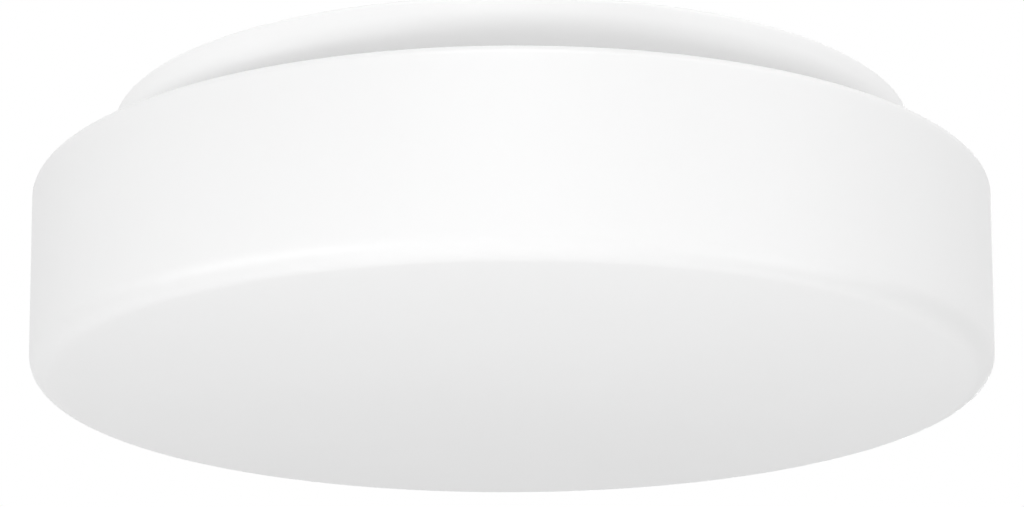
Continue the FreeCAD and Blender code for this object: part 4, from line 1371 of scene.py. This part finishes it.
@dataclass
class RivetSet:
    """Alike rivets with a domed head above and a domed set head below.

    Attributes:
        name: The piece's name.
        node: The CAD node that it stands for.
        places: X and Y of each rivet.
        top: Level of the upper head's seat.
        grip: From one head's seat to the other's.
        head: Radius of both heads.
        flange: Height of a head.
        edge_share: Share of a head's height that stands straight at its edge.
        shank: Radius of the shank.
        dome_points: Points of a dome's section.
        segments: Steps of the turn.
    """

    name: str
    node: str
    places: list[Place]
    top: float
    grip: float
    head: float = 2.7
    flange: float = 1.0
    edge_share: float = 0.25
    shank: float = 1.6
    dome_points: int = 9
    segments: int = 40

    def profile(self) -> np.ndarray:
        """One rivet's section from its top to its bottom: domes with r = head sin t, z by cos t.

        Returns:
            Array of r and z, starting and ending on the axis.
        """
        turn = np.linspace(0.0, math.pi / 2.0, self.dome_points)
        rise = self.flange * (self.edge_share + (1.0 - self.edge_share) * np.cos(turn))
        upper = np.stack([self.head * np.sin(turn), self.top + rise], axis=-1)
        lower_face = self.top - self.grip
        lower = np.stack([self.head * np.sin(turn[::-1]), lower_face - rise[::-1]], axis=-1)
        waist = np.array(
            [
                [self.head, self.top],
                [self.shank, self.top],
                [self.shank, lower_face],
                [self.head, lower_face],
            ]
        )
        return np.concatenate([upper, waist, lower])

    def build(self) -> bpy.types.Object:
        """Makes the rivets as one piece of separate solids.

        Returns:
            The piece.
        """
        one = lathe(self.profile(), self.segments, loop=False)
        rivets = joined(one.moved((x, y, 0.0)) for x, y in self.places)
        return place(self.name, rivets, RIVET_METAL, Body.FITTING, [self.node])


@dataclass
class ReflectorTray(TurnedPiece):
    """The white tray: a dish with a rolled-up rim, three wire holes and the fixing holes."""

    name: ClassVar[str] = "reflector_tray_dish"
    node: ClassVar[str] = "reflector_tray"
    finish: ClassVar[Finish] = TRAY_PAINT

    radius: float = 98.0
    sheet: float = 1.0
    under: float = -21.0
    rim: float = 5.0
    rim_round: float = 0.45
    edge: float = 1.8
    wire_place: float = 18.0
    wire_hole: float = 7.0
    wire_hole_steps: int = 64
    pillar_place: float = 88.0
    screw_hole: float = 2.2
    rivet_place: float = 33.9
    rivet_pitch: float = 19.0
    rivet_hole: float = 1.7
    segments: int = 300
    arc_steps: int = 8

    def corners(self) -> list[Corner]:
        """The dish's section from the axis below round the rim to the axis above.

        Returns:
            The corners in order.
        """
        inner, top = self.radius - self.sheet, self.under + self.rim
        return [
            (0.0, self.under, 0.0),
            (self.radius, self.under, self.edge),
            (self.radius, top, self.rim_round),
            (inner, top, self.rim_round),
            (inner, self.under + self.sheet, self.edge - self.sheet),
            (0.0, self.under + self.sheet, 0.0),
        ]

    def rivet_places(self) -> list[Place]:
        """The places of the six bracket rivets."""
        return pairs(self.rivet_place, THIRDS, self.rivet_pitch)

    def openings(self) -> list[Surface]:
        """The tools that cut the wire holes and the fixing holes.

        Returns:
            Closed surfaces that reach through the tray.
        """
        wires = [polar(self.wire_place, angle) for angle in THIRDS]
        screws = [polar(self.pillar_place, angle) for angle in PILLAR_ANGLES]
        outlines = [
            *holes(self.wire_hole, wires, self.wire_hole_steps),
            *holes(self.screw_hole, screws),
            *holes(self.rivet_hole, self.rivet_places()),
        ]
        low, high = self.under - self.sheet, self.under + 2.0 * self.sheet
        return [prism(outline, low, high) for outline in outlines]


@dataclass
class Lamp:
    """One capsule lamp: base block, frosted capsule and two wire loop pins, along a radius.

    Attributes:
        number: The lamp's number, from 1.
        angle: Where it points, in degrees.
        axis_z: Level of its axis.
        start: Open end of the capsule from the middle.
        length: Length of the capsule.
        radius: Outside radius of the capsule.
        wall: Thickness of the capsule.
        dome: Rounding of its closed end.
        rim_round: Rounding of its open end.
        arc_steps: Steps of each rounding.
        longest: Longest step along the section.
        segments: Steps of the turn.
        base_edge: Rounding of the base block's edges.
        pin_edge: Rounding of the pins' edges.
    """

    number: int
    angle: float
    axis_z: float = -31.5
    start: float = 52.5
    length: float = 33.0
    radius: float = 8.0
    wall: float = 0.9
    dome: float = 7.84
    rim_round: float = 0.3
    arc_steps: int = 20
    longest: float = 3.0
    segments: int = 96
    base_edge: float = 0.4
    pin_edge: float = 0.15

    @property
    def body(self) -> Body:
        """The body that this lamp is."""
        return Body(f"lamp_{self.number}")

    def profile(self) -> np.ndarray:
        """The capsule's section from its tip outside, round the open end and back inside.

        Returns:
            Array of r and z, with z along the lamp.
        """
        inner, inside_end = self.radius - self.wall, self.length - self.wall
        corners = [
            (0.0, self.length, 0.0),
            (self.radius, self.length, self.dome),
            (self.radius, 0.0, self.rim_round),
            (inner, 0.0, self.rim_round),
            (inner, inside_end, self.dome - self.wall),
            (0.0, inside_end, 0.0),
        ]
        return divided(rounded(corners, self.arc_steps), self.longest)

    def build(self) -> bpy.types.Object:
        """Makes the capsule and dresses the base and the pins.

        Returns:
            The capsule.
        """
        shell = lathe(self.profile(), self.segments, loop=False).laid_along_x()
        made = place(
            f"lamp_{self.number}_capsule",
            shell.moved((self.start, 0.0, self.axis_z)).moved(turn=self.angle),
            CAPSULE_FROST,
            self.body,
            [f"lamp_capsule_{self.number}"],
        )
        dress(f"lamp_base_{self.number}", LAMP_BASE_PLASTIC, self.base_edge)
        dress(f"lamp_pins_{self.number}", PIN_METAL, self.pin_edge)
        return made


@dataclass
class Fittings:
    """The CAD nodes that keep their mesh.

    Attributes:
        plain: By node, its finish and the rounding of its edges.
        holders: Number of lampholders, each with its bracket.
        bracket_edge: Rounding of a bracket's edges.
        holder_edge: Rounding of a lampholder's edges.
    """

    plain: dict[str, tuple[Finish, float]] = field(
        default_factory=lambda: {
            "tray_pillars": (ZINC_STEEL, 0.2),
            "tray_screws": (ZINC_STEEL, 0.25),
            "holder_screws": (ZINC_STEEL, 0.2),
            "holder_contacts": (CONTACT_METAL, 0.0),
            "terminal_block": (BLOCK_PLASTIC, 0.25),
            "terminal_barrels": (BARREL_BRASS, 0.0),
            "terminal_screws": (ZINC_STEEL, 0.1),
            "terminal_fixing_screw": (ZINC_STEEL, 0.2),
            "earth_washer": (ZINC_STEEL, 0.0),
            "earth_tag": (CONTACT_METAL, 0.0),
            "earth_screw": (ZINC_STEEL, 0.25),
            "live_leads": (LEAD_BROWN, 0.0),
            "neutral_leads": (LEAD_BLUE, 0.0),
            "earth_lead": (LEAD_EARTH, 0.0),
        }
    )
    holders: int = 3
    bracket_edge: float = 0.15
    holder_edge: float = 0.35

    def build(self) -> list[bpy.types.Object]:
        """Dresses the nodes.

        Returns:
            Their objects.
        """
        made = [dress(node, finish, edge) for node, (finish, edge) in self.plain.items()]
        for number in range(1, self.holders + 1):
            made.append(dress(f"holder_bracket_{number}", BRACKET_STEEL, self.bracket_edge))
            made.append(dress(f"lampholder_{number}", HOLDER_CERAMIC, self.holder_edge))
        return made


# Studio


@dataclass(frozen=True)
class SoftLamp:
    """A square soft light that shines at the middle of the object.

    Attributes:
        name: Its name.
        azimuth: Degrees round the object, 0 in front and positive to the right.
        elevation: Degrees above the horizon.
        distance: Metres from the object.
        side: Metres along an edge.
        share: How bright it makes a white face turned to it; 1 is white.
    """

    name: str
    azimuth: float
    elevation: float
    distance: float
    side: float
    share: float

    def build(self, target: Vector) -> bpy.types.Object:
        """Puts the light up.

        A facing white surface shows power / (pi distance) squared, which gives the power.

        Args:
            target: The point that it shines at.

        Returns:
            The light.
        """
        around, above = math.radians(self.azimuth), math.radians(self.elevation)
        back = Vector(
            (
                math.sin(around) * math.cos(above),
                -math.cos(around) * math.cos(above),
                math.sin(above),
            )
        )
        lamp = bpy.data.lights.new(self.name, "AREA")
        lamp.shape = "SQUARE"
        lamp.size = self.side
        lamp.energy = self.share * (math.pi * self.distance) ** 2
        made = bpy.data.objects.new(self.name, lamp)
        made.location = target + back * self.distance
        made.rotation_mode = "QUATERNION"
        made.rotation_quaternion = back.to_track_quat("Z", "Y")
        bpy.context.scene.collection.objects.link(made)
        return made


def seen_rays(kit: NodeKit) -> bpy.types.NodeSocket:
    """Tells the rays that show the surround from the ones that only carry light.

    Args:
        kit: The tree's kit.

    Returns:
        1 for camera, glossy and transmission rays, 0 for the rest.
    """
    path = kit.add("ShaderNodeLightPath")
    seen = kit.maths(Mode.MAXIMUM, path.outputs["Is Camera Ray"], path.outputs["Is Glossy Ray"])
    return kit.maths(Mode.MAXIMUM, seen, path.outputs["Is Transmission Ray"])


@dataclass
class Studio:
    """Plain soft light, a pale floor far below, a white surround and the photograph's camera.

    Attributes:
        middle: The point that the lights shine at, in metres.
        ambient: Strength of the surround as light.
        floor_level: Height of the floor, in metres.
        floor_radius: Its radius, in metres.
        floor_thick: Its thickness, in metres.
        floor_tone: How white it is.
        floor_roughness: Its roughness.
        floor_lift: Glow that it shows to the eye and in reflections, so that it reads pale.
        lamps: The lights.
        drum_radius: The drum's radius in metres, the unit of the camera's lengths.
        distance: Drum radii from the camera to the middle of the pan's ceiling face.
        ceiling: Height of that face above the underside, in drum radii.
        below: Degrees of the camera below the underside, seen from the middle.
        view_rise: Degrees by which it looks up.
        roll: Degrees by which it is turned about its line of sight.
        focal_pixels: Its focal length, in pixels of the photograph.
        centre_pixel: The photograph's column that it looks straight at.
        image_width: Columns of the photograph.
        sensor: Width of the film, in millimetres.
        reach: Nearest and farthest that it sees, in metres.
    """

    middle: Vector = field(default_factory=lambda: Vector((0.0, 0.0, -0.045)))
    ambient: float = 0.513
    floor_level: float = -2.6
    floor_radius: float = 14.0
    floor_thick: float = 0.02
    floor_tone: float = 0.9
    floor_roughness: float = 0.9
    floor_lift: float = 0.3
    lamps: tuple[SoftLamp, ...] = (
        SoftLamp("key_light", -42.0, -27.0, 1.5, 0.30, 0.100),
        SoftLamp("left_light", -70.0, -20.0, 1.5, 0.60, 0.170),
        SoftLamp("right_light", 65.0, -32.0, 1.5, 0.80, 0.186),
        SoftLamp("front_light", 0.0, 40.0, 1.5, 0.70, 0.342),
        SoftLamp("high_light", 60.0, 40.0, 1.5, 0.70, 0.124),
        SoftLamp("under_light", 0.0, -52.0, 0.44, 0.36, 0.222),
        SoftLamp("back_light", 172.0, 14.0, 2.0, 0.70, 0.350),
    )
    drum_radius: float = 0.150
    distance: float = 6.918
    ceiling: float = 0.562
    below: float = 14.282
    view_rise: float = 16.681
    roll: float = -0.1969
    focal_pixels: float = 3310.63
    centre_pixel: float = 511.664
    image_width: float = 1024.0
    sensor: float = 36.0
    reach: tuple[float, float] = (0.05, 50.0)

    def camera(self) -> bpy.types.Object:
        """Makes the camera: below the light, looking up along +Y.

        Returns:
            The camera.
        """
        low, rise, roll = (math.radians(angle) for angle in (self.below, self.view_rise, self.roll))
        away, drop = self.distance * self.drum_radius, self.ceiling * self.drum_radius
        origin = Vector((0.0, -away * math.cos(low), -away * math.sin(low) - drop))
        forward = Vector((0.0, math.cos(rise), math.sin(rise)))
        level = Vector((1.0, 0.0, 0.0))
        upward = level.cross(forward)
        right = level * math.cos(roll) + upward * math.sin(roll)
        up = upward * math.cos(roll) - level * math.sin(roll)
        lens = bpy.data.cameras.new("photo_camera")
        lens.sensor_width = self.sensor
        lens.lens = self.focal_pixels * self.sensor / self.image_width
        lens.shift_x = (self.image_width / 2.0 - self.centre_pixel) / self.image_width
        lens.clip_start, lens.clip_end = self.reach
        made = bpy.data.objects.new("photo_camera", lens)
        bpy.context.scene.collection.objects.link(made)
        turned = Matrix((right, up, -forward)).transposed().to_4x4()
        made.matrix_world = Matrix.Translation(origin) @ turned
        bpy.context.scene.camera = made
        return made

    def surround(self) -> None:
        """White wherever the camera or a reflection looks past the object, softer as light."""
        world = bpy.data.worlds.new("white_surround")
        bpy.context.scene.world = world
        world.use_nodes = True
        world.node_tree.nodes.clear()
        kit = NodeKit(world.node_tree)
        strength = kit.span(seen_rays(kit), 0.0, 1.0, self.ambient, 1.0)
        sky = kit.add("ShaderNodeBackground", Color=WHITE, Strength=strength)
        kit.add("ShaderNodeOutputWorld", Surface=sky.outputs[0])

    def floor(self) -> bpy.types.Object:
        """A round pale floor far below the light.

        Returns:
            The floor.
        """
        outline = disc_outline(self.floor_radius / MM, steps=2 * ROUND_STEPS)
        level = self.floor_level / MM
        slab = prism(outline, level - self.floor_thick / MM, level)
        made = linked("studio_floor", mesh_from("studio_floor", slab))
        plain = bpy.data.materials.new("studio_floor")
        plain.use_nodes = True
        kit = NodeKit(plain.node_tree)
        kit.fill(
            plain.node_tree.nodes["Principled BSDF"],
            Base_Color=(self.floor_tone, self.floor_tone, self.floor_tone, 1.0),
            Roughness=self.floor_roughness,
            Emission_Color=WHITE,
            Emission_Strength=kit.span(seen_rays(kit), 0.0, 1.0, 0.0, self.floor_lift),
        )
        made.data.materials.append(plain)
        return made

    def build(self) -> None:
        """Sets up camera, surround, floor and lights."""
        bpy.context.scene.view_settings.view_transform = "Standard"
        self.camera()
        self.surround()
        self.floor()
        for lamp in self.lamps:
            lamp.build(self.middle)
        log.info("studio: %d lights", len(self.lamps))


def main() -> None:
    """Builds the studio and every piece of the light, and reports each."""
    logging.basicConfig(level=logging.INFO, format="%(name)s: %(message)s")
    Studio().build()
    pan = CeilingPan()
    pan.build()
    OpalDrum().build()
    GlassSeal().build()
    CableGrommet().build()
    catch = GlassCatch()
    for number, angle in enumerate(THIRDS, start=1):
        catch.build(number, angle)
    catch_places = pan.catch_rivet_places()
    RivetSet("catch_rivet_set", "clip_rivets", catch_places, top=-3.0, grip=1.8).build()
    tray = ReflectorTray()
    tray.build()
    holder_places = tray.rivet_places()
    RivetSet("bracket_rivet_set", "bracket_rivets", holder_places, top=-20.0, grip=2.2).build()
    for number, angle in enumerate(THIRDS, start=1):
        Lamp(number, angle).build()
    Fittings().build()


if __name__ == "__main__":
    main()
